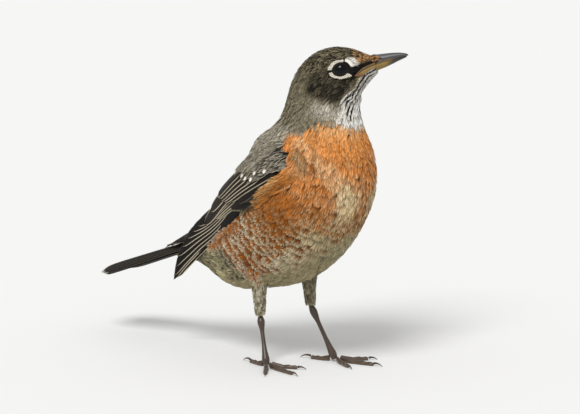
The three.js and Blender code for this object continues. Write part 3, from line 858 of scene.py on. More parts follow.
def soft_feathers(surface, roots, seed, length, wide, locks, sections, span=(0, 16),
                  around=FULL_TURN, lift=0.12, depth=None, colours=plumage, lean=0, streak=0.22,
                  bare=None, drawn=None, rim_from=0.76, edged=0.0, ragged=1.0, side_rim=1.0):
    """Fans of tapering locks on a form. Gives points, faces, colours and places on the map."""
    chance = np.random.default_rng(seed)
    at, turn = roots
    count = len(at)
    length = at_station(length, at) * chance.uniform(0.85, 1.15, count)
    wide = at_station(wide, at) * chance.uniform(0.85, 1.1, count)
    lean = chance.normal(0, 0.09, count) + at_station(lean, at)
    path_at, path_turn = run_back(surface, at, turn, lean, length)
    if bare is not None:
        # Feathers that would cover a bare place are shortened, and left out if that fails.
        for _ in range(3):
            covers = bare(surface(path_at, path_turn)).any(1)
            length = np.where(covers, length * 0.65, length)
            path_at, path_turn = run_back(surface, at, turn, lean, length)
        kept = ~bare(surface(path_at, path_turn)).any(1)
        at, turn, length, wide = at[kept], turn[kept], length[kept], wide[kept]
        path_at, path_turn = path_at[kept], path_turn[kept]
        count = len(at)
    deep = (body_depth(at) if depth is None else depth + 0 * at)[:, None, None]
    broad = wide[:, None, None]

    # Each lock starts somewhere down the feather and leans out to its place on a round end.
    seat = np.linspace(-1, 1, locks) + chance.uniform(-0.5, 0.5, (count, locks)) / locks
    reach = 1 - 0.3 * seat ** 2 + ragged * chance.uniform(-0.16, 0.06, (count, locks))
    begin = 0.45 * chance.uniform(0, 1, (count, locks))
    begin = 0.06 + begin * np.clip(1 - np.abs(seat), 0, 1) ** 0.5
    rise = lift * chance.uniform(-0.2, 1, (count, locks)) * length[:, None] / 10
    section, girth = (np.array(row) for row in LOCK_SHAPES[sections])
    down = begin[..., None] + (reach - begin)[..., None] * section
    aside = seat[..., None] * (0.12 + 0.88 * section ** FAN) * broad
    half = broad / locks * chance.uniform(1.1, 1.7, (count, locks, 1)) * girth
    tilt = chance.normal(0, 0.3 * ragged, (count, locks, 1, 1))
    place = np.clip(down, 0, 1) * FEATHER_STEPS
    k = np.minimum(place.astype(int), FEATHER_STEPS - 1)
    part = place - k
    row = np.arange(count)[:, None, None]
    a = path_at[row, k] * (1 - part) + path_at[row, k + 1] * part
    w = path_turn[row, k] * (1 - part) + path_turn[row, k + 1] * part
    nudge = 0.05
    per_turn = np.linalg.norm(surface(a, w + nudge) - surface(a, w), axis=-1) / nudge
    height = rise[..., None] * section ** 2 - deep * np.clip(1 - down, 0, 1) ** 2
    height = height - 0.12 * (aside / broad) ** 2 * deep
    sides = np.array([1, -1])
    across = aside[..., None] + half[..., None] * sides
    points = surface(
        a[..., None] + 0 * across,
        w[..., None] + across / np.maximum(per_turn, 1)[..., None],
        height[..., None] + tilt * half[..., None] * sides,
    )

    # One colour for a lock, from where its tip shows, pale on the rim and darker at its root,
    # partly for its down-grey and partly as painted shade under the feathers that lie over it.
    luck = chance.uniform(0, 1, count)[:, None] + chance.normal(0, 0.08, seat.shape)
    luck = np.clip(luck, 0, 1)
    seen = (down[..., -2] + down[..., -1]) / 2
    seen_at = path_at[:, :1] + (path_at[:, -1:] - path_at[:, :1]) * seen
    seen_turn = path_turn[:, :1] + (path_turn[:, -1:] - path_turn[:, :1]) * seen
    seen_turn = seen_turn + (aside[..., -1] * 0.8) / np.maximum(per_turn[..., -1], 1)
    base, edge, fringe = colours(seen_at, seen_turn, surface(seen_at, seen_turn), luck)
    shine = np.exp(chance.normal(0, streak, (count, locks)) + chance.normal(0, 0.07, (count, 1)))
    shine = np.minimum(shine, SHINE_LIMIT)
    start = rim_from - 0.3 * np.clip(fringe - 0.8, 0, 0.6)
    start = (start + chance.normal(0, 0.03 * ragged, seat.shape))[..., None]
    from_shaft = np.abs(seat[..., None])
    near_rim = np.maximum(down / reach[..., None], side_rim * (0.5 + 0.5 * section) * from_shaft)
    near_rim = np.maximum(near_rim, edged * from_shaft)
    rim = np.clip(fringe, 0, 1)[..., None] * ramp(near_rim, start, start + 0.12)
    colour = mix(base[:, :, None, :], edge[:, :, None, :], rim)
    # Painted shade: each lock darkens towards its root, along with its random shine.
    dark = (0.6 + 0.4 * ramp(down, 0.1, 0.6)) * shine[..., None]
    colour = (colour * dark[..., None])[..., None, :] * np.ones((2, 1))

    # The feather's patch on the map lies at its root.
    map_at = 0.01 + 0.98 * (at - span[0]) / (span[1] - span[0])
    full = around[1] - around[0]
    map_turn = 0.01 + 0.98 * ((turn - around[0]) % full) / full
    patch_u = map_turn[:, None, None, None] + PATCH * 0.5 * across / broad[..., None]
    patch_v = map_at[:, None, None, None] - PATCH * (down[..., None] - 0.5) + 0 * across
    spots = np.clip(np.stack([patch_u, patch_v], -1), 0, 1)

    # The last section is a single point, so each lock ends in one triangle.
    if drawn is not None:
        points = drawn(points)
    points[..., -1, 0, :] = points[..., -1, :, :].mean(-2)
    points, colour, spots = (
        v.reshape(count * locks, 2 * sections, -1)[:, :-1].reshape(-1, v.shape[-1])
        for v in (points, colour, spots)
    )
    return points, lock_faces(count * locks, sections), colour, spots


def coat_piece(name, parts, material, nodes=()):
    """One piece from parts of (points, faces, colours, places on the map)."""
    piece = make_piece(name, *several([part[:2] for part in parts]))
    spots = np.concatenate([part[3] for part in parts]).astype(np.float32)
    corners = np.empty(len(piece.data.loops), np.int32)
    piece.data.loops.foreach_get("vertex_index", corners)
    layer = piece.data.uv_layers.new(name="OFBake")
    layer.data.foreach_set("uv", spots[corners].ravel())
    dress(piece, np.concatenate([part[2] for part in parts]), material, nodes)


FEATHER = painted_material("feather", 0.8, 1500)
body_surface = surface_of(BODY)


def body_coat(name, slot, low, high, spacing, seed, length, wide, keep=None, **shape):
    """A piece of the body's coat: roots spread from station to station, a feather on each."""
    roots = spread_roots(body_surface, low, high, spacing, seed, keep)
    part = soft_feathers(body_surface, roots, seed + 1, length, wide, span=(low, high), **shape)
    coat_piece(name, [part], FEATHER)


# The face and head have the smallest feathers, and none on the eyes.
HEAD_START = 10.6
HEAD_STATIONS = (10.6, 12, 13, 14, 16)
body_coat(
    "coat_head", "head_feathers", HEAD_START, 16.0, (HEAD_STATIONS, (1.6, 1.5, 1.35, 1.0, 0.45)),
    11, (HEAD_STATIONS, (7.2, 6.2, 5.2, 3.4, 1.6)), (HEAD_STATIONS, (1.5, 1.35, 1.2, 0.8, 0.45)),
    locks=13, sections=3, streak=0.42, bare=bare_face, drawn=round_lids, rim_from=0.86, edged=1.0,
)
NECK_STATIONS = (8.6, 10.6)
body_coat(
    "coat_neck", "neck_feathers", 8.6, HEAD_START + 0.2, (NECK_STATIONS, (1.9, 1.3)), 21,
    (NECK_STATIONS, (9.5, 6.0)), (NECK_STATIONS, (2.3, 1.4)), locks=11, sections=4, streak=0.4,
)
BREAST_STATIONS = (6, 8.8)
UNDER_SIDE = ((2, 4, 6, 8, 9), (92, 76, 78, 86, 84))  # the degrees off the back where it starts


def under_side(at, turn):
    """True on the breast and belly."""
    return off_back(turn) > np.interp(at, *UNDER_SIDE)


body_coat(
    "coat_breast", "body_feathers", 6.2, 9.3, (BREAST_STATIONS, (2.6, 2.1)), 31,
    (BREAST_STATIONS, (11, 9)), (BREAST_STATIONS, (3.0, 2.5)), under_side, locks=19, sections=4,
    streak=0.34, rim_from=0.8, side_rim=0.7,
)

# The belly's broad feathers lie in rows like soft scales.
VENT_PUFF = 4.5
BELLY_SPAN = (0.4, 6.4)
BELLY_STATIONS = (0.4, 2, 6)
ROW_GAP = 4.7
SIDE_GAP = 6.3
STRAY = 0.16  # how far a root strays from its place, in steps
FLANK = np.radians([-45.0])


def belly_surface(at, turn, height=0.0):
    """The vent's feathers are fluffed out below the tail."""
    puff = VENT_PUFF * np.exp(-(((at - 2.3) / 0.6) ** 2)) * ramp(off_back(turn), 105, 150)
    return body_surface(at, turn, height + puff)


def roots_in_rows(surface, low, high, seed, keep):
    """Roots in even rows across a form, each row half a step off from the last."""
    chance = np.random.default_rng(seed)
    ring = np.linspace(0, 2 * np.pi, 721)
    nudge = 0.05
    found_at, found_turn = [], []
    at = high
    odd = 0
    while at > low:
        line = surface(at + 0 * ring, ring)
        reached = np.cumsum(np.linalg.norm(np.diff(line, axis=0), axis=1))
        reached = np.concatenate([[0], reached])
        count = int(reached[-1] / SIDE_GAP)
        seats = (np.arange(count) + 0.5 * odd + chance.uniform(-STRAY, STRAY, count)) / count
        found_turn.append(np.interp(seats % 1, reached / reached[-1], ring))
        ahead = surface(at - nudge + 0 * FLANK, FLANK) - surface(at + 0 * FLANK, FLANK)
        step = ROW_GAP / (np.linalg.norm(ahead) / nudge)
        found_at.append(at + chance.uniform(-STRAY, STRAY, count) * step)
        at -= step
        odd = 1 - odd
    at, turn = np.concatenate(found_at), np.concatenate(found_turn)
    kept = keep(at, turn)
    return at[kept], turn[kept]


belly_coat = soft_feathers(
    belly_surface, roots_in_rows(belly_surface, *BELLY_SPAN, 41, under_side), 42,
    (BELLY_STATIONS, (9, 11, 11)), (BELLY_STATIONS, (3.9, 5.2, 5.0)), locks=33, sections=5,
    span=BELLY_SPAN, streak=0.24, rim_from=0.8, ragged=0.75, side_rim=0.0,
)
coat_piece("coat_belly", [belly_coat], FEATHER)
BACK_STATIONS = (1, 3, 8.8)
body_coat(
    "coat_back", "body_feathers", 1.0, 8.8, (BACK_STATIONS, (2.0, 2.1, 1.8)), 51,
    (BACK_STATIONS, (10, 12, 10)), (BACK_STATIONS, (3.0, 3.2, 2.4)),
    lambda at, turn: ~under_side(at, turn), locks=15, sections=4, streak=0.34, edged=0.9,
)


def thigh_colours(at, turn, place, chance):
    """Grey thighs that take the body's markings at their top."""
    base = mix(THIGH_DARK, THIGH_GREY, ramp(chance, 0.2, 0.9))
    flank, flank_edge, _, _ = plumage_near(place, chance, 4, 48)
    top = ramp(at, 3.6, 4.6)
    edge = mix(mix(base, BELLY_WHITE, 0.7), flank_edge, top)
    return mix(base, flank, top), edge, 0.8 - 0.4 * chance


thigh_parts = []
for k, rows in enumerate(THIGHS.values()):
    upwards = rows[::-1].copy()
    upwards[:, PITCH] *= -1
    upwards[:, TURN] += 180
    thigh_surface = surface_of(upwards)
    roots = spread_roots(thigh_surface, 1.1, 6.4, ((0, 7), (0.9, 1.6)), 61 + k)
    thigh_parts.append(soft_feathers(
        thigh_surface, roots, 63 + k, ((0, 1, 7), (3.0, 3.8, 7)), ((0, 7), (0.9, 2.0)),
        locks=9, sections=4, span=(0, 14), colours=thigh_colours, depth=THIGH_COAT,
    ))
coat_piece("coat_thighs", thigh_parts, FEATHER)


# ---- The tail ----
# Twelve stiff tail feathers, rooted in the rump, lie stacked under the middle pair. Each is a
# shaft with a close vane on either side; shorter feathers cover their roots.
TAIL_ROOT = np.array([-57, 0, 68.7])
TAIL_PITCH = 20
TAIL_WRAP = 34  # the radius of its arch
# Each row: a place along the tail, its half width and its thickness there.
TAIL_ROWS = np.array([
    (0, 9, 5), (25, 11.5, 4.2), (55, 13.5, 3.9), (83, 15.5, 3.4), (91, 15, 2.8), (95, 11, 1.6),
])
EDGE_THICK = 0.6
VANE_STEPS = 16
ROOT_TAPER = 0.22  # the share of a feather that narrows to its root
SHAFT_RIDGE = 0.16
SHAFT_WIDE = 0.22
CAMBER = 0.06
RIPPLE = 0.04


def on_tail(along, across, height=0.0, under=False):
    """A point on the folded tail, which is arched with its edges down."""
    ahead, left, up = ways(TAIL_PITCH, 0)
    half_wide = np.interp(along, TAIL_ROWS[:, 0], TAIL_ROWS[:, 1])
    thick = np.interp(along, TAIL_ROWS[:, 0], TAIL_ROWS[:, 2])
    share = np.clip(across / half_wide, -1, 1)
    half = (EDGE_THICK + (thick - EDGE_THICK) * np.sqrt(1 - share ** 2)) / 2
    bend = across / TAIL_WRAP
    off = (np.where(under, -half, half) + height)[..., None]
    normal = up * np.cos(bend)[..., None] + left * np.sin(bend)[..., None]
    level = left * (TAIL_WRAP * np.sin(bend))[..., None]
    arch = level + up * (TAIL_WRAP * (np.cos(bend) - 1))[..., None]
    return TAIL_ROOT - ahead * along[..., None] + arch + normal * off


def stiff_look(middle, edge, rim, lead_rim, trail_rim, tip=None, tip_long=0):
    """The colours of a stiff feather, how broad and strong its pale edges are, and its tip."""
    return {
        "middle": linear(middle), "edge": linear(edge), "rim": rim, "lead_rim": lead_rim,
        "trail_rim": trail_rim, "tip": tip, "tip_long": tip_long,
    }


def vane(surface, root, tip, lead, trail, rise, look, bow=0.0, blunt=0.4, thick=0.14, luck=0.5):
    """One stiff feather as a thin closed blade: (points, faces, colours, places 0 to 1)."""
    root, tip = np.array(root, float), np.array(tip, float)
    down = np.linspace(0, 1, VANE_STEPS) ** 0.8
    way = tip - root
    size = np.hypot(*way)
    aside = np.array([-way[1], way[0]]) / size
    middle = root + way * down[:, None] + aside * (bow * 4 * down * (1 - down))[:, None]
    full = np.clip(down / ROOT_TAPER, 0, 1) ** 0.7
    past = np.clip((down - (1 - blunt)) / blunt, 0, 1)
    width = full * np.sqrt(np.clip(1 - past ** 2.2, 0, 1)) + 0.004
    rim = look["rim"]

    # Columns of points from the leading edge to the trailing one, closest at rim and shaft.
    columns = []
    for wide, sign in ((lead, -1), (trail, 1)):
        inner = 1 - rim / wide
        fine = min(SHAFT_WIDE / wide, 0.25)
        shares = [1, inner, inner - 0.05, (inner + fine) / 2, fine * 1.4, fine]
        columns += [(sign * wide * share, sign * share) for share in shares]
    off_shaft, share = np.array(sorted(columns)).T
    shares, downs = np.meshgrid(share, down)
    spot = middle[:, None] + aside * (off_shaft[None] * width[:, None])[..., None]
    ridge = SHAFT_RIDGE * (np.abs(off_shaft) <= SHAFT_WIDE + 1e-6)
    height = rise[0] + (rise[1] - rise[0]) * downs + ridge * (1 - downs)
    height = height - CAMBER * shares ** 2
    height = height + RIPPLE * np.sin(shares * 9 + luck * 20) * downs
    top = surface(spot[..., 0], spot[..., 1], height)
    bottom = surface(spot[..., 0], spot[..., 1], height - thick)

    rows, cols = shares.shape
    index = np.arange(rows * cols).reshape(rows, cols)
    quads = np.stack([index[:-1, :-1], index[:-1, 1:], index[1:, 1:], index[1:, :-1]], -1)
    quads = quads.reshape(-1, 4)
    edge = np.concatenate([index[0, :-1], index[:-1, -1], index[-1, :0:-1], index[:0:-1, 0]])
    following = np.roll(edge, -1)
    under = rows * cols
    walls = np.stack([edge, following, following + under, edge + under], -1)
    faces = [quads, quads[:, ::-1] + under, walls[:, ::-1]]
    rim_at = 1 - rim / np.where(shares < 0, lead, trail)
    colour = vane_colours(shares, downs, rim_at, look, size, luck)
    colours = np.concatenate([colour.reshape(-1, 3)] * 2)
    spots = np.stack([(shares + 1) / 2, downs], -1).reshape(-1, 2)
    points = np.concatenate([top.reshape(-1, 3), bottom.reshape(-1, 3)])
    return points, faces, colours, np.concatenate([spots] * 2)


def vane_colours(share, down, rim_at, look, size, luck):
    """Darker along the shaft, paler along the edges, with a spot at the tip where it has one."""
    rim_share = np.where(share < 0, look["lead_rim"], look["trail_rim"])
    on_rim = ramp(np.abs(share), rim_at - 0.05, rim_at - 0.01) * rim_share * ramp(down, 0.05, 0.2)
    colour = mix(look["middle"] + 0 * down[..., None], look["edge"], on_rim)
    colour = mix(colour, look["middle"] * 0.6, ramp(np.abs(share), 0.16, 0.06) * 0.8)
    if look["tip_long"]:
        reach = look["tip_long"] * (1 - 0.35 * np.abs(share))
        colour = mix(colour, look["tip"], ramp((1 - down) * size, reach, reach * 0.6))
    return colour * (0.9 + 0.2 * luck)


def atlas(parts):
    """Gives each feather a cell of its own on the map."""
    down = math.ceil(math.sqrt(len(parts) / 3))
    across = math.ceil(len(parts) / down)
    laid = []
    for i, (points, faces, colours, spots) in enumerate(parts):
        corner = np.array([i % across, i // across], float)
        laid.append((points, faces, colours, (corner + 0.06 + 0.88 * spots) / (across, down)))
    return laid


def barbed_material(name, roughness):
    """Stiff vanes: the painted colours with fine barbs as relief."""
    material = painted_material(name, roughness, 700, bump=0.0, shine=0.12)
    tree = material.node_tree
    own_map = tree.nodes.new("ShaderNodeUVMap")
    own_map.uv_map = "OFBake"
    wave = socket(tree, "ShaderNodeTexWave", Scale=160.0, Distortion=2.0, Detail=2.0)
    wave.bands_direction = "DIAGONAL"
    relief = socket(tree, "ShaderNodeBump", Strength=0.12, Distance=0.0002)
    tree.links.new(own_map.outputs["UV"], wave.inputs["Vector"])
    tree.links.new(wave.outputs["Fac"], relief.inputs["Height"])
    tree.links.new(relief.outputs["Normal"], tree.nodes["Principled BSDF"].inputs["Normal"])
    return material


VANE = barbed_material("stiff feather", 0.6)

TAIL_LOOK = stiff_look("1c1917", "474036", 0.6, 0.8, 0.8)
TAIL_COVERT_LOOK = stiff_look("3e382e", "635c4c", 1.2, 0.7, 0.7)
TAIL_UNDER_LOOK = stiff_look("1f1b18", "474036", 0.6, 1.0, 0.5)
TAIL_BLUNT = 0.14


def under_tail(along, across, height=0.0):
    """The tail's underside, with heights downwards."""
    return on_tail(along, across, -height, under=True)


tail_parts = []
for pair in range(6):
    spread = pair * 2.0 + 1.0
    length = 94.5 - 1.2 * max(0, pair - 3) ** 2
    high = 0.35 - 0.25 * pair
    inner, outer = (4.6, 4.6) if pair == 0 else (5.0, 3.2)
    white_tip = {"tip": WHITE, "tip_long": 4.5 if pair == 5 else 2.5} if pair > 3 else {}
    for side in (LEFT, RIGHT):
        tail_parts.append(vane(
            on_tail, (2, side * spread * 0.5), (length, side * (spread + 1.2)),
            *((inner, outer) if side == LEFT else (outer, inner)), (high, high + 0.1),
            TAIL_LOOK | white_tip, blunt=TAIL_BLUNT, luck=(pair * 0.37) % 1,
        ))
for i, (along, across) in enumerate(((36, -6.5), (37, 6.5), (43, -3.8), (43, 3.8), (39, 0))):
    heights = (2.6, 2.9 - 0.02 * (along - 36) ** 2 + 0.1 * i)
    tail_parts.append(vane(
        on_tail, (3, across * 0.6), (along, across), 4.2, 4.2, heights, TAIL_COVERT_LOOK,
        blunt=0.4, luck=i * 0.3,
    ))
for pair in range(4):
    for side in (LEFT, RIGHT):
        root = (2, side * (2 + pair * 2.4) * 0.6)
        tip = (93 - pair, side * (2 + pair * 2.9))
        heights = (0.2 * pair - 0.5,) * 2
        tail_parts.append(
            vane(under_tail, root, tip, 4.2, 4.2, heights, TAIL_UNDER_LOOK, blunt=TAIL_BLUNT)
        )
coat_piece("tail_feathers", atlas(tail_parts), VANE, ["tail"])


# ---- The wings ----
# Each folded wing is a plate of flight feathers, the inner ones on top, with three rows of
# coverts like tiles over their roots and the shoulder feathers over its upper edge.
WING_LENGTH = 133
ROLL_START = 30  # along the wing, where it starts to roll over the rump and where it has
ROLL_END = 112
# Each row: a place along the wing from its bend to its tip, how far out and up its middle lies
# there, its reach up and down, its thickness, the radius of its face and how far it leans.
WING_ROWS = np.array([
    (-3, -1, 0, 2, 2, 2, 22, 0),
    (2, 3, -0.5, 7, 6.5, 4, 22, 2),
    (10, 7, 0, 13, 9.5, 5, 22, 5),
    (21, 10.2, 0.6, 17, 10, 5, 23, 8),
    (32, 11.2, 1.4, 16.5, 9.5, 4.6, 23, 8),
    (44, 10.3, 2.2, 14, 8.7, 4, 23, 8),
    (62, 7.2, 3.2, 12, 9, 3.4, 24, 8),
    (82, 2.6, 3.8, 9.5, 7.5, 2.8, 34, 6),
    (101, 0.4, 4.8, 7.8, 7.2, 2.4, 50, 4),
    (116, 0, 3.8, 6.2, 6, 2, 70, 3),
    (124, 0, 2.4, 4.2, 4.4, 1.6, 80, 2),
    (129.5, 0, 1, 2, 2.4, 1.2, 80, 2),
    (133, 0, 0, 0.8, 0.8, 0.8, 80, 2),
], float)
# How deep the flight feathers lie in the wing's outer face, so that their stack fills it.
SINK = ((-3, 10, 25, 60, 82, 105, 120), (0.3, 1.4, 2.2, 1.9, 1.0, 0.3, 0.0))
# Where the wing bends at the shoulder, how its line falls and closes on the middle, how it
# bulges out round the body and rolls over the rump.
WINGS = {
    "right": {
        "side": RIGHT, "bend": (14.5, -28.4, 128.3), "fall": 41, "close": 8, "bulge": 0, "flat": 0,
    },
    "left": {
        "side": LEFT, "bend": (10, 31, 121.8), "fall": 29.9, "close": 18.3, "bulge": 3, "flat": 98,
    },
}
ROW_STEPS = np.linspace(0, len(WING_ROWS) - 1, 400)
ROW_ALONG = smooth_rows(WING_ROWS, ROW_STEPS)[:, 0]


def wing_surface(side_name):
    """The outer face of a folded wing: a place along it and up or down from its line."""
    wing = WINGS[side_name]
    ahead, left, up = ways(-wing["fall"], 180 + wing["side"] * wing["close"])
    outwards = left * -wing["side"]

    def surface(along, reach, height=0.0, inner=False):
        along, reach = np.broadcast_arrays(np.asarray(along, float), np.asarray(reach, float))
        row = smooth_rows(WING_ROWS, np.interp(along, ROW_ALONG, ROW_STEPS))
        _, out, rise, upper, lower, thick, wrap, lean = (row[..., i] for i in range(8))
        over = np.radians(wing["flat"]) * ramp(along, ROLL_START, ROLL_END)
        away = out + wing["bulge"] * np.sin(np.pi * along / WING_LENGTH)
        roll = np.radians(lean) + over
        share = np.clip(np.where(reach > 0, reach / upper, reach / lower), -1, 1)
        bend = reach / wrap
        round_off = np.sqrt(1 - share ** 2)
        half = (EDGE_THICK + (thick - EDGE_THICK) * round_off) / 2
        sunk = np.interp(along, *SINK) * round_off
        off = np.where(inner, -half, half - sunk) + height
        flat_out = wrap * (np.cos(bend) - 1) + off * np.cos(bend)
        flat_up = (wrap + off) * np.sin(bend)
        y = away * np.cos(over) - rise * np.sin(over)
        y = y + flat_out * np.cos(roll) - flat_up * np.sin(roll)
        z = away * np.sin(over) + rise * np.cos(over)
        z = z + flat_out * np.sin(roll) + flat_up * np.cos(roll)
        reached = row[..., 0] + (along - np.clip(along, ROW_ALONG[0], ROW_ALONG[-1]))
        on_line = np.array(wing["bend"]) + reached[..., None] * ahead
        return on_line + y[..., None] * outwards + z[..., None] * up

    return surface


PALE_LINE = "d6cab0"
PRIMARY = stiff_look("15120f", PALE_LINE, 0.4, 1.0, 0.1)
SECONDARY = stiff_look("1c1814", PALE_LINE, 0.5, 0.9, 0.1)
TERTIAL = stiff_look("2a251f", PALE_LINE, 0.5, 1, 0.8)
COVERT = stiff_look("231e19", PALE_LINE, 0.42, 1, 0.1)
HAND_COVERT = stiff_look("211d18", "8a8270", 0.35, 0.6, 0.1)
MEDIAN = stiff_look("5a5344", "a89f8a", 0.3, 1.0, 0.5, WHITE, 3.4)
# The tips of the feathers, along the wing and up from its line, from the body side down.
PRIMARY_TIPS = (
    (93, 7.5), (100, 7.6), (107, 7.2), (114, 6.2), (120.5, 4.6), (126.5, 2.4), (131, 0.3),
    (133, -0.6), (129, -2.5),
)
TERTIAL_TIPS = ((85.5, 4.2), (74.5, 7.0), (63, 10.5))
GREATER_TIPS = ((60, 8.6), (58.5, 6.7), (57.5, 4.9), (55.5, 3.4), (54, 1.8), (48, -0.6))
GREATER_ROOTS = ((28, 9.2), (25, 6.4), (22, 3.4), (18, 0.6), (14, -1.6), (7, -4.2))
MEDIAN_TIPS = ((29.4, 5.0), (27.2, 2.2), (23.2, -0.4), (19, 1.2), (12.3, -1.2))
BED_SINK = 0.5
BED_ENDS = (-2.5, 126)


def wing_bed(surface):
    """The closed body of the wing under its feathers."""
    a, share = np.meshgrid(np.linspace(*BED_ENDS, 60), np.linspace(-0.94, 0.94, 15), indexing="ij")
    row = smooth_rows(WING_ROWS, np.interp(a, ROW_ALONG, ROW_STEPS))
    reach = np.where(share > 0, share * row[..., 3], share * row[..., 4])
    outer = surface(a, reach, -BED_SINK + 0 * a)
    inner = surface(a, reach, 0.3 + 0 * a, inner=True)
    points, faces = closed_rings(np.concatenate([outer, inner[:, ::-1]], 1))
    shade = np.tile(PRIMARY["middle"] * 0.8, (len(points), 1))
    flat_a, flat_share = (np.concatenate([v, v[:, ::-1]], 1).ravel() for v in (a, share))
    spots = np.stack([(flat_share + 1) / 2, (flat_a + 3) / 130], -1)
    spots = np.concatenate([spots, [[0.5, 0.0], [0.5, 1.0]]])
    return points, faces, shade, np.clip(spots, 0, 1)


def run(count, first, step):
    """Places in a row, each a step on from the last."""
    return [np.add(first, np.multiply(i, step)) for i in range(count)]


def vane_row(surface, roots, tips, heights, widths, looks, luck, **shape):
    """A row of stiff feathers; looks is one look for all or a list of them."""
    looks = [looks] * len(tips) if isinstance(looks, dict) else looks
    return [
        vane(surface, root, tip, *widths, height, look, luck=(i * luck) % 1, **shape)
        for i, (root, tip, height, look) in enumerate(zip(roots, tips, heights, looks))
    ]


def wing_parts(surface):
    """The wing's bed and its stiff feathers, each row over the last."""
    parts = [wing_bed(surface)]

    # Nine primaries, the outermost lowest.
    parts += vane_row(
        surface, run(9, (40, 2.0), (2.2, -0.95)), PRIMARY_TIPS,
        run(9, (-0.36, 0.9), (-0.06, -0.16)), (2.6, 4.6), PRIMARY, 0.618, bow=-0.8, blunt=0.3,
        thick=0.1,
    )[::-1]

    # Six secondaries, then three broad inner ones over them, the topmost with a white tip.
    parts += vane_row(
        surface, run(6, (22, -5.5), (1.5, 2.4)), run(6, (71.5, 0.8), (1.6, 1.0)),
        run(6, (-0.5, 0.1), (0.13, 0.15)), (2.6, 4.2), SECONDARY, 0.41, blunt=0.22,
    )
    parts += vane_row(
        surface, run(3, (24, 5), (-1, 3)), TERTIAL_TIPS, run(3, (0.3, 1.3), (0.1, 0.15)),
        (3.8, 4.4), [TERTIAL, TERTIAL, TERTIAL | {"tip": WHITE, "tip_long": 2.0}], 0.53,
        bow=0.5, blunt=0.3,
    )

    # Primary coverts and the alula along the lower edge, plain dark.
    parts += vane_row(
        surface, run(6, (12, -8.6), (1.3, 0.5)), run(6, (45, -8.6), (1.6, 0.9)),
        run(6, (-0.2, 0.75), (0, 0.06)), (1.7, 2.4),
        HAND_COVERT | {"tip": CREAM, "tip_long": 1.2}, 0.7, blunt=0.3,
    )
    parts += vane_row(
        surface, run(3, (6, -8.4), (1, 1.2)), run(3, (33, -7.6), (4.5, 1.5)),
        run(3, (0.3, 1.2), (0.2, 0.2)), (2.2, 2.8), HAND_COVERT, 0.4, blunt=0.35,
    )

    # Greater coverts, and the white-tipped ends of the median ones that show.
    parts += vane_row(
        surface, GREATER_ROOTS, GREATER_TIPS, run(6, (2.0, 2.5), (-0.18, -0.18)), (1.5, 2.2),
        COVERT, 0.618, blunt=0.25,
    )
    parts += vane_row(
        surface, [(along - 6.5, up + 3.6) for along, up in MEDIAN_TIPS], MEDIAN_TIPS,
        [(2.2, 3.4)] * len(MEDIAN_TIPS), (0.85, 1.0), MEDIAN, 0.37, blunt=0.35,
    )
    return parts


LESSER = linear("39342a")
LESSER_EDGE = linear("c8c0ac")
SCAPULAR = linear("777060")
SCAPULAR_EDGE = linear("e8e0cc")
SIDE_RUFOUS = linear("cd8640")
SIDE_TAN = linear("b87636")
SIDE_EDGE = linear("e2c08a")
# Lines on the wing, as places along it and up from its middle: the groove under the shoulder
# feathers, the lower edge of the small coverts, and the edge of the breast's side feathers
# where they lie over the wing and in front of it.
GROOVE = ((-6, -3, 1.7, 7.5, 13.6, 20.5, 25.6, 30, 36), (3, 4.2, 6.2, 6.4, 6.2, 5.1, 4.6, 5.0, 6.5))
COVERTS_END = ((-3, 5, 12, 19, 23, 27, 31), (-6, -3.8, -2.0, -0.8, -0.6, 2.2, 5.0))
BREAST_OVER = ((-6, -3, -0.5, 4.8, 14.9, 28.2, 43), (9, 5, 1.2, -4.7, -5.9, -8.4, -9.9))
BREAST_FRONT = ((-7, -4, -2.8, 1, 4, 5.5), (10, 5, 3.4, 1.5, -1.5, -5))
# The soft feathers point along the wing, so their stations are places along it, turned round.
COVERT_STATIONS = (-30, -8, 3)
SIDE_STATIONS = (-30, -8, 8)
COVERT_LEAN = 0.14
SCAPULAR_LEAN = ((-30, -20, -8, 4), (-0.3, -0.15, 0.05, 0.35))
SIDE_LEAN = ((-28, -10, 0, 6, 12), (0.12, 0.2, 0.1, -0.3, -0.5))


def shoulder_colours(at, reach, place, chance):
    """Small dark coverts, and grey shoulder feathers over a groove darkened with painted shade."""
    groove = np.interp(-at, *GROOVE)
    above = ramp(reach, groove - 0.6, groove + 0.6)
    base = mix(LESSER, SCAPULAR, above) * (0.8 + 0.4 * chance)[..., None]
    # Painted shade along the groove, full near the bend and gone further along the wing.
    painted_groove_shade = 1 - 0.52 * (ramp(np.abs(reach - groove), 1.1, 0.3) * ramp(at, -32, -20))[..., None]
    return base * painted_groove_shade, mix(LESSER_EDGE, SCAPULAR_EDGE, above) * painted_groove_shade, 0.9 - 0.25 * above


def side_colours(at, reach, place, chance):
    """Rufous side feathers, tan along the wing, that take the breast's markings in front."""
    base = mix(SIDE_RUFOUS, SIDE_TAN, ramp(at, 0, -14)) * (0.7 + 0.5 * chance)[..., None]
    over = np.interp(-at, *BREAST_OVER)
    pale = ramp(reach, over - 5, over - 1)
    fringe = np.clip(0.15 + 0.5 * pale * ramp(at, -4, -12) - 0.2 * chance, 0, 1)
    breast, breast_edge, breast_fringe, _ = plumage_near(place, chance, 6, 72)
    front = ramp(at, -5, 1) * ramp(reach, 7, 4)
    edge = mix(SIDE_EDGE + 0 * base, breast_edge, front)
    return mix(base, breast, front), edge, fringe + (breast_fringe - fringe) * front


def small_coverts(at, reach):
    """True where the small coverts have their roots."""
    below = reach < np.interp(-at, *GROOVE) + 0.8
    tip_free = reach + 1.2 > np.interp(-at + 8, *COVERTS_END)
    inside = reach < np.interp(-at, [-3, 2, 10], [2, 7, 13])
    return below & tip_free & inside & (at > -21)


def scapulars(at, reach):
    """True where the shoulder feathers have their roots."""
    above = reach > np.interp(-at + 5, *GROOVE) + 0.9
    inside = reach < np.interp(-at, [-5, 0, 10, 34], [9, 13, 19, 20])
    tip_free = 10 - at < np.interp(reach, [5, 9, 12, 20], [31, 35, 41, 44])
    return above & inside & tip_free


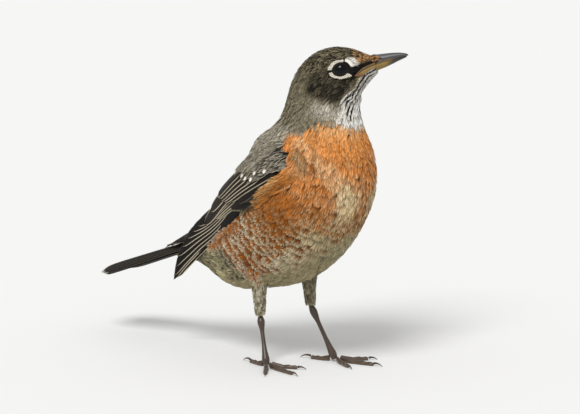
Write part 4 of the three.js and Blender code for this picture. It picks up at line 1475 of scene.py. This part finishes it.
def breast_side(at, reach):
    """True where the breast's side feathers that cover the wing have their roots."""
    lower = reach < np.interp(-at + 8, *BREAST_OVER) - 1.2
    front = 8 - at < np.interp(reach, *BREAST_FRONT)
    below_bend = reach < np.interp(at, [0, 4, 13], [4.6, 3.4, 0.5])
    return (lower | front) & below_bend


def shoulder_part(form, span, spacing, seeds, keep, reach, length, wide, **shape):
    """Soft feathers on part of the wing; the map has room for all of it."""
    roots = spread_roots(form, *span, spacing, seeds[0], keep, reach)
    return soft_feathers(
        form, roots, seeds[1], length, wide, sections=4, span=(-34, 14), around=(-17, 20), **shape,
    )


for k, side_name in enumerate(WINGS):
    surface = wing_surface(side_name)
    nodes = [f"wing_{side_name}_{layer}" for layer in ("coverts", "secondaries", "primaries")]
    feathers = atlas(wing_parts(surface))
    coat_piece(f"wing_{side_name}_feathers", feathers, VANE, nodes)

    def shoulder_surface(at, reach, height=0.0, surface=surface):
        raised = 2.3 + 0.3 * ramp(reach, 5, 12) - 0.9 * ramp(-at, 22, 40)
        return surface(-at, reach, height + raised)

    def side_surface(at, reach, height=0.0, surface=surface):
        raised = np.maximum(2.2 * ramp(reach, -13, -8), 2.6 * ramp(at, -4, 2))
        return surface(-at, reach, height + raised)

    shoulder = [
        shoulder_part(
            shoulder_surface, (-22, 4), 1.7, (71 + k, 73 + k), small_coverts, (-9, 20),
            (COVERT_STATIONS, (10, 10, 8)), (COVERT_STATIONS, (1.3, 1.2, 1.1)), locks=9,
            colours=shoulder_colours, depth=1.0, streak=0.2, lean=COVERT_LEAN, lift=0.05,
            rim_from=0.82, edged=1.0, ragged=0.5,
        ),
        shoulder_part(
            shoulder_surface, (-33, 5), 2.1, (75 + k, 79 + k), scapulars, (-9, 20),
            (COVERT_STATIONS, (11, 11, 8)), (COVERT_STATIONS, (2.8, 2.6, 2.0)), locks=15,
            colours=shoulder_colours, depth=1.2, streak=0.26, lean=SCAPULAR_LEAN, lift=0.05,
            rim_from=0.86, edged=1.0, ragged=0.7,
        ),
        shoulder_part(
            side_surface, (-26, 13), 1.15, (77 + k, 83 + k), breast_side, (-14, 8),
            (SIDE_STATIONS, (10, 10, 8)), (SIDE_STATIONS, (1.2, 1.4, 1.5)), locks=13,
            colours=side_colours, depth=1.8, streak=0.42, lean=SIDE_LEAN,
        ),
    ]
    coat_piece(f"wing_{side_name}_shoulder", shoulder, FEATHER)


# ---- The bill ----
# Two horn sheaths: the upper slate grey, with a painted sheen along the ridge on its top and a
# nostril on each side whose pit is painted black as shade; the lower ochre with a dark tip. They
# meet along the cutting edge.
GAP = 0.3  # between the two halves, and later between a toe and its claw
# Each row: a place along the bill from its base, the half width and the height there.
UPPER_BILL = np.array([
    (-8, 5.2, 3), (-4, 4.5, 4.4), (0, 3.7, 5), (5, 2.9, 4.3), (10, 2.2, 3.4), (15, 1.4, 2.4),
    (18.5, 0.8, 1.3), (19.6, 0.4, 0.5),
])
LOWER_BILL = np.array([
    (-8, 5.6, 3.6), (-4, 4.7, 3.9), (0, 3.8, 3.8), (5, 2.8, 3.3), (10, 2, 2.4), (15, 1.2, 1.3),
    (18.5, 0.5, 0.4),
])
INNER_FACE = 0.12  # how far the face inside the mouth bows out
KEEL = 0.16
NOSTRIL = (3.2, 2.1)  # ahead of the base and above the cutting edge
NOSTRIL_SIZE = (1.5, 0.45)
NASAL_STAND = 0.35  # how far the small feathers over the nostrils stand off the horn
NASAL_REACH = ((0, 0.5, 0.8, 0.93, 1), (0.5, 2.2, 4.8, 4.2, 1.5))
BILL_SLATE = linear("434345")
BILL_SHINE = linear("7f8084")
BILL_OCHRE = linear("94773a")
BILL_TIP = linear("3a3430")
GAPE = linear("c98f3a")
HORN = painted_material("horn", 0.38, 450, bump=0.12, shine=0.5)
BASE = BODY[-1]
BILL_WAYS = ways(BASE[PITCH], BASE[TURN])


def cutting_edge(at):
    """How the line where the halves meet drops, along the bill."""
    return -0.007 * np.maximum(0, at - 10) ** 2 - 0.2 * np.maximum(0, -at)


def bill_half(name, table, above, node):
    """One horn sheath, in rings along the bill, nearly flat where it meets the other."""
    ahead, left, up = BILL_WAYS
    stations = np.concatenate([np.linspace(-8, 17, 48), np.linspace(17.3, table[-1, 0], 10)])
    turns = np.linspace(0, 2 * np.pi, 48, endpoint=False)
    at, turn = np.meshgrid(stations, turns, indexing="ij")
    wide = np.interp(at, table[:, 0], table[:, 1])
    high = np.interp(at, table[:, 0], table[:, 2])
    sign = 1 if above else -1
    outer = np.sin(turn) * sign > 0
    roof = np.abs(np.sin(turn)) ** 0.9 * np.where(outer, high, INNER_FACE)
    roof = roof * np.sign(np.sin(turn))
    flank = np.sign(np.cos(turn)) * np.abs(np.cos(turn)) ** 0.92 * wide
    keel = KEEL * np.exp(-(np.cos(turn) / 0.12) ** 2) * outer * sign
    gap = np.hypot((at - NOSTRIL[0]) / NOSTRIL_SIZE[0], (roof - NOSTRIL[1]) / NOSTRIL_SIZE[1])
    pit = np.where(outer & above, ramp(gap, 1.2, 0.5), 0)
    flank = flank * (1 - 0.2 * pit)
    rise = cutting_edge(at) + sign * GAP / 2 + roof + keel
    rings = BASE[:3] + ahead * at[..., None] + left * flank[..., None] + up * rise[..., None]
    if above:
        # Painted sheen: the upper bill is painted paler along the top of its ridge, where it
        # catches the light.
        ridge = ramp(np.abs(roof), 0.5 * high.max(), high.max())
        colour = mix(BILL_SLATE, BILL_SHINE, 0.35 * ridge)
        colour = mix(colour, BILL_TIP, ramp(at, 12, 18) * 0.5)
        colour = mix(colour, BILL_OCHRE * 0.8, ramp(roof, 0.9, 0.3) * ramp(at, 13, 8) * outer)
        # Painted shade: the nostril's pit is painted black.
        colour = mix(colour, BLACK, pit)
    else:
        colour = mix(BILL_OCHRE, BILL_TIP, ramp(at + 0.8 * np.abs(roof), 6, 12))
    colour = mix(colour, GAPE, ramp(at, 1.0, -3.0) * ramp(np.abs(roof), 1.6, 0.4)).reshape(-1, 3)
    piece = make_piece(name, *closed_rings(rings))
    ended = np.concatenate([colour, colour[:1], colour[-1:]])
    dress(piece, ended, HORN, [node])


bill_half("upper_bill", UPPER_BILL, True, "bill_upper")
bill_half("lower_bill", LOWER_BILL, False, "bill_lower")


def bill_surface(at, turn, height=0.0):
    """Over the upper bill: millimetres from its base, turn round it from the left."""
    ahead, left, up = BILL_WAYS
    wide = np.interp(at, UPPER_BILL[:, 0], UPPER_BILL[:, 1]) + height + NASAL_STAND
    high = np.interp(at, UPPER_BILL[:, 0], UPPER_BILL[:, 2]) + height + NASAL_STAND
    across = left * (np.cos(turn) * wide)[..., None] + up * (np.sin(turn) * high + GAP)[..., None]
    return BASE[:3] + ahead * at[..., None] + across


def nasal_part(at, turn):
    """The feathers reach the nostril at each side of the bill, but not its ridge."""
    return at < np.interp(np.abs(np.cos(turn)), *NASAL_REACH)


def nasal_colours(at, turn, place, chance):
    """Black at the sides, reddish on top like the forehead."""
    low = ramp(np.sin(turn), 0.45, 0.2)
    base = mix(mix(BLACK, FOREHEAD, ramp(chance, 0.25, 0.9)), BLACK, 0.8 * low)
    return base, FOREHEAD * 1.6 + 0 * base, 0.5 * chance * (1 - low)


nasal_roots = spread_roots(bill_surface, -3, 5, 0.45, 91, nasal_part, (0.05, np.pi - 0.05))
nasal = soft_feathers(
    bill_surface, nasal_roots, 92, 2.0, 0.4, locks=5, sections=3, span=(-3, 5),
    colours=nasal_colours, around=(0, np.pi), depth=0.12, lift=0.8, streak=0.35,
)
coat_piece("nasal_feathers", [nasal], FEATHER)


# ---- The corners of the mouth ----
# Bare lips of soft skin run back from the bill along the mouth line to its corner below the
# eye. They are sunk into the face at their edges, where the feathers stop. The groove where they
# meet is painted near-black as shade.
LIP_OCHRE = linear("9c7c44")
LIP_BROWN = linear("6b5638")
LIP_CORNER = linear("82543a")
LIP_SWELL = 0.35
LIP_SINK = 1.0
LEVEL_WINDOW = 7  # rows over which the level of the lips is evened


def face_level(x, y):
    """How far out to the side the face lies, for places ahead of the eyes and above them."""
    at, turn = np.meshgrid(np.linspace(12, 16, 300), np.linspace(-1.5, 1.2, 220), indexing="ij")
    ahead, side, rise = head_place(on_form(BODY, at, turn))
    tree = search_tree([(p, q, 0) for p, q in zip(ahead.ravel(), rise.ravel())])
    found = [tree.find((p, q, 0))[1] for p, q in zip(x.ravel(), y.ravel())]
    return side.ravel()[found].reshape(x.shape)


def on_face(x, y, out):
    """A place from how far ahead of the eyes, above them and out from the middle it lies."""
    ahead, left, up = ways(HEAD_PITCH, HEAD_TURN)
    middle = (eye_centre(LEFT) + eye_centre(RIGHT)) / 2
    return middle + ahead * x[..., None] + left * out[..., None] + up * y[..., None]


along = np.linspace(MOUTH_CORNER, LIP[0][-1], 40)
x, share = np.meshgrid(along, np.linspace(0, 1, 13), indexing="ij")
top, mouth, chin = (np.interp(x, *line) for line in (LIP, MOUTH, CHIN))
lower = chin + (mouth - chin) * share * 2
y = np.where(share < 0.5, lower, mouth + (top - mouth) * (share * 2 - 1))
window = np.ones(LEVEL_WINDOW) / LEVEL_WINDOW
padded = np.pad(face_level(x, y), ((LEVEL_WINDOW // 2,) * 2, (0, 0)), "edge")
level = np.array([np.convolve(column, window, "valid") for column in padded.T]).T
swell = LIP_SWELL * np.abs(np.sin(2 * np.pi * share)) ** 0.7 * ramp(x, MOUTH_CORNER, 9.5) + 0.12
swell = swell - 0.5 * (np.abs(share - 0.5) > 0.45)
shade = mix(LIP_OCHRE, LIP_CORNER, ramp(x, 12.5, 9.5) * ramp(share, 0.6, 0.3))
shade = mix(shade, LIP_BROWN, ramp(share, 0.48, 0.62))
# Painted shade: a near-black line in the groove where the upper and lower lips meet.
shade = mix(shade, BLACK, ramp(np.abs(share - 0.5), 0.07, 0.02) * 0.9)
shade = np.concatenate([shade, shade[:, ::-1]], 1)
lips = []
lip_colours = []
for side in (LEFT, RIGHT):
    outer = on_face(x, y, side * (level + swell))
    inner = on_face(x, y, side * (level - LIP_SINK + 0 * swell))
    rings = np.concatenate([outer, inner[:, ::-1]], 1)
    turned = -side  # the rings run the other way round on the other side
    lips.append(closed_rings(rings[:, ::turned]))
    lip_colours.append(np.concatenate([shade[:, ::turned].reshape(-1, 3), [LIP_CORNER, LIP_OCHRE]]))
lip_piece = make_piece("lips", *several(lips))
lip_material = painted_material("lips", 0.5, 700, bump=0.1, shine=0.4)
dress(lip_piece, np.concatenate(lip_colours), lip_material)


# ---- The eyes ----
# Near-black balls set in the sides of the head, each held by bare lids with a ring of tiny
# white feathers that breaks before and behind the eye.
IRIS = linear("140d09")
PUPIL_EDGE = (34, 30)
# The lids' cross-section: away from the middle of the eye and out from it. The first two points
# are the bare rim.
LID_PROFILE = (
    (4.05, 3.05), (4.3, 3.12), (4.75, 3.05), (5.4, 2.95), (6.2, 2.6), (7.0, 1.9), (6.6, 0.6),
    (4.6, 1.2),
)
LID_SIDES = 72
RING_TUFTS = 1900
RING_START = 4.4
# How wide the white ring is, by degrees round the eye from straight ahead.
RING_WIDE = (
    (-180, -150, -110, -75, -50, 0, 50, 75, 120, 180),
    (1.9, 1.5, 1.2, 1.6, 2.9, 1.0, 1.5, 1.4, 1.9, 2.1),
)
EYE = painted_material("eye", 0.03, 300, shine=0.2)
LID = painted_material("lid", 0.6, 900)


def round_eye(side, radius, around, height):
    """A point round the eye: its distance from the middle, its turn from ahead, its height."""
    out, front, up = eye_ways(side)
    x = (radius * np.cos(around) * EYE_LONG)[..., None]
    y = (radius * np.sin(around) * EYE_FLAT)[..., None]
    return eye_middle(side) + out * np.asarray(height)[..., None] + front * x + up * y


def make_eyeball(side_name, side):
    """The ball, with a darker pupil that faces out."""
    turns = np.arange(48) * 2 * np.pi / 48
    degrees, around = np.meshgrid(np.linspace(1, 179, 32), turns, indexing="ij")
    out, front, up = eye_ways(side)
    down, around = np.radians(degrees)[..., None], around[..., None]
    flat = front * np.cos(around) * EYE_LONG + up * np.sin(around) * side
    rings = out * np.cos(down) + flat * np.sin(down)
    points, faces = closed_rings(eye_middle(side) + EYE_RADIUS * rings)
    eye = make_piece(f"eyeball_{side_name}", points, faces)
    colour = mix(IRIS, BLACK * 0.2, ramp(degrees, *PUPIL_EDGE)).reshape(-1, 3)
    ended = np.concatenate([colour, colour[:1], colour[-1:]])
    dress(eye, ended, EYE, [f"eye_{side_name}"])


def make_lids(side_name, side):
    """A thin fold that hugs the ball and runs under the feathers of the face."""
    around = np.arange(LID_SIDES) * 2 * np.pi / LID_SIDES
    rings = [round_eye(side, r + 0 * around, around, h + 0 * around) for r, h in LID_PROFILE]
    points = np.array(rings).reshape(-1, 3)
    count = len(rings)
    ring, k = np.meshgrid(np.arange(count), np.arange(LID_SIDES), indexing="ij")
    following, beside = (ring + 1) % count, (k + 1) % LID_SIDES
    a, b, c, d = (
        (i * LID_SIDES + j).ravel()
        for i, j in ((ring, k), (ring, beside), (following, k), (following, beside))
    )
    quads = np.stack([a, b, d, c] if side == RIGHT else [b, a, c, d], -1)
    lid = make_piece(f"lids_{side_name}", points, [quads])
    shade = np.repeat([BLACK * 1.5] * 2 + [CHEEK * 0.8] * (count - 2), LID_SIDES, 0)
    beyond = np.repeat([r for r, h in LID_PROFILE], LID_SIDES)
    colour = mix(shade, WHITE, ramp(beyond, 4.9, 5.3) * white_spot(points))
    dress(lid, colour, LID)


def make_eye_ring(side_name, side):
    """The white ring: tiny locks that point away from the eye, dark before and behind it."""
    count = RING_TUFTS
    chance = np.random.default_rng(81 + (side > 0))
    around = chance.uniform(-np.pi, np.pi, count)
    angle = np.degrees(around)
    dark = ((angle > -48) & (angle < 60)) | (angle > 166) | (angle < -176)
    ahead_of_eye = (angle > -10) & (angle < 56)
    bend = 0.16 * np.sin(around * 7 + 1.0) + 0.12 * np.sin(around * 13)
    wide_ring = np.maximum(np.interp(angle, *RING_WIDE) + bend - 0.6, 0.1)
    start = RING_START + chance.uniform(0, 1, count) ** 1.1 * wide_ring
    length = chance.uniform(0.6, 1.3, count)
    short_start = RING_START - 0.05 + 0.3 * chance.uniform(0, 1, count)
    start = np.where(ahead_of_eye, short_start, start)
    length = np.where(ahead_of_eye, 0.6 * length, length)
    half = chance.uniform(0.03, 0.055, count)
    base = 2.95 - 0.12 * (start - 4.6) + chance.uniform(0.05, 0.3, count)
    swirl = 0.25 * np.sin(around) * length / 5
    rows = []
    for t, wide, lift in ((0, 0.7, -0.15), (0.5, 1.0, 0.05), (1, 0.0, -0.15)):
        for sign in (1, -1):
            turned = around + swirl * t + sign * half * wide
            rows.append(round_eye(side, start + length * t, turned, base + lift))
    tufts = np.stack(rows[:5], 1)
    shade = mix(mix(WHITE, CREAM, 0.7 * chance.uniform(0, 1, count)), CHEEK, dark.astype(float))
    shade = shade * chance.uniform(0.62, 1.0, count)[:, None]
    map_u = 0.01 + 0.98 * (around / (2 * np.pi) + 0.5)
    spots = np.stack([map_u, 0.05 + 0.9 * (start - 4.5) / 2.4], -1)
    corners = np.array([(-1, -1), (1, -1), (-1, 0), (1, 0), (0, 1)]) * PATCH / 2
    spots = np.clip(spots[:, None] + corners, 0, 1).reshape(-1, 2)
    ring = (tufts.reshape(-1, 3), lock_faces(count, 3), np.repeat(shade, 5, 0), spots)
    coat_piece(f"eye_ring_{side_name}", [ring], FEATHER)


for side_name, side in (("left", LEFT), ("right", RIGHT)):
    make_eyeball(side_name, side)
    make_lids(side_name, side)
    make_eye_ring(side_name, side)


# ---- The claws ----
# A curved horn claw grows from the end of each toe, its tip just off the floor. The hind one
# is the longest.
CLAW_WIDE = 0.75
CLAW_BEND = 62
CLAW_SET = 18
CLAW_TIP = 0.18
CLAW_LIFT = 0.25
CLAW_NARROW = 0.75  # its width over its height
CLAW_BROWN = linear("2f2722")


def claw_rows(length, steps=8):
    """The rows of a claw along X: an arc of a circle, narrowing to its tip."""
    radius = length / math.radians(CLAW_BEND)
    start = math.radians(-CLAW_SET)
    end = math.radians(CLAW_BEND - CLAW_SET)
    rows = []
    for i in range(steps + 1):
        share = i / steps
        pitch = CLAW_SET - CLAW_BEND * share
        at = math.radians(-pitch)
        girth = CLAW_WIDE * (1 - (1 - CLAW_TIP) * share)
        x = radius * (math.sin(at) - math.sin(start))
        z = radius * (math.cos(at) - math.cos(end)) + CLAW_LIFT
        rows.append((x, 0, z, pitch, 0, girth * CLAW_NARROW, girth, girth, 0))
    return np.array(rows)


claw_parts = []
for side in LEGS:
    for name, length, claw, lie in toes_of(side):
        rings = rings_of(claw_rows(claw), 2, 14)
        rings[..., 2] = np.maximum(rings[..., 2], 0.03)
        claw_parts.append(closed_rings(placed(rings, *lie, TOE_START + length + GAP)))
claws = make_piece("claws", *several(claw_parts))
claw_colour = mix(CLAW_BROWN, LEG_PALE, 0.3 * ramp(points_of(claws)[:, 2], 0.8, 2.0))
claw_nodes = [f"claw_{side}_{toe[0]}" for side in LEGS for toe in TOES]
dress(claws, claw_colour, HORN, claw_nodes)


# ---- Floor, light and camera ----
# Not part of the bird: a plain pale floor, soft light from all round with a lamp high in front,
# and a camera with a long lens, far off and a little above the bird.
FLOOR_HALF = 30
FLOOR_TINT = (0.52, 0.5, 0.47, 1)  # the light it throws back on the bird
FLOOR_SEEN = (0.88, 0.88, 0.87, 1)
corners = [(x * FLOOR_HALF, y * FLOOR_HALF, 0) for x, y in ((-1, -1), (1, -1), (1, 1), (-1, 1))]
floor_mesh = bpy.data.meshes.new("floor")
floor_mesh.from_pydata(corners, [], [(0, 1, 2, 3)])
floor = put_in_scene("floor", floor_mesh)
floor_paint = bpy.data.materials.new("floor")
floor_paint.use_nodes = True
tree = floor_paint.node_tree
floor_shader = tree.nodes["Principled BSDF"]
floor_shader.inputs["Roughness"].default_value = 0.9
floor_shader.inputs["Specular IOR Level"].default_value = 0.0
rays = tree.nodes.new("ShaderNodeLightPath")
seen_colour = tree.nodes.new("ShaderNodeMix")
seen_colour.data_type = "RGBA"
seen_colour.inputs[6].default_value = FLOOR_TINT
seen_colour.inputs[7].default_value = FLOOR_SEEN
seen = rays.outputs["Is Camera Ray"]
for kind in ("Is Glossy Ray", "Is Transmission Ray"):
    either = tree.nodes.new("ShaderNodeMath")
    either.operation = "ADD"
    either.use_clamp = True
    tree.links.new(seen, either.inputs[0])
    tree.links.new(rays.outputs[kind], either.inputs[1])
    seen = either.outputs["Value"]
tree.links.new(seen, seen_colour.inputs[0])
tree.links.new(seen_colour.outputs[2], floor_shader.inputs["Base Color"])
floor_mesh.materials.append(floor_paint)

world = bpy.data.worlds.new("studio")
bpy.context.scene.world = world
world.use_nodes = True
world.node_tree.nodes["Background"].inputs["Color"].default_value = (1, 1, 1, 1)
world.node_tree.nodes["Background"].inputs["Strength"].default_value = 0.6

KEY_TURN = 20  # the lamp's place round the bird, as for the camera, and its height
KEY_HEIGHT = 50
key = put_in_scene("key", bpy.data.lights.new("key", "SUN"))
key.data.energy = 1.85
key.data.angle = math.radians(22)
key.rotation_euler = (math.radians(90 - KEY_HEIGHT), 0, math.radians(KEY_TURN))

CAMERA_TURN = 40
CAMERA_HEIGHT = 12
CAMERA_FAR = 8.4
AIM = (np.array([-4.9, -4.11, 93.0]) + HOME) * MM
camera = put_in_scene("camera", bpy.data.cameras.new("camera"))
camera.data.lens = 900
camera.data.sensor_width = 36
turn, height = math.radians(CAMERA_TURN), math.radians(CAMERA_HEIGHT)
level = math.cos(height)
away = Vector((math.sin(turn) * level, -math.cos(turn) * level, math.sin(height)))
camera.location = Vector(AIM) + away * CAMERA_FAR
camera.rotation_euler = (math.radians(90) - height, 0, turn)
bpy.context.scene.camera = camera
bpy.context.scene.view_settings.view_transform = "Standard"
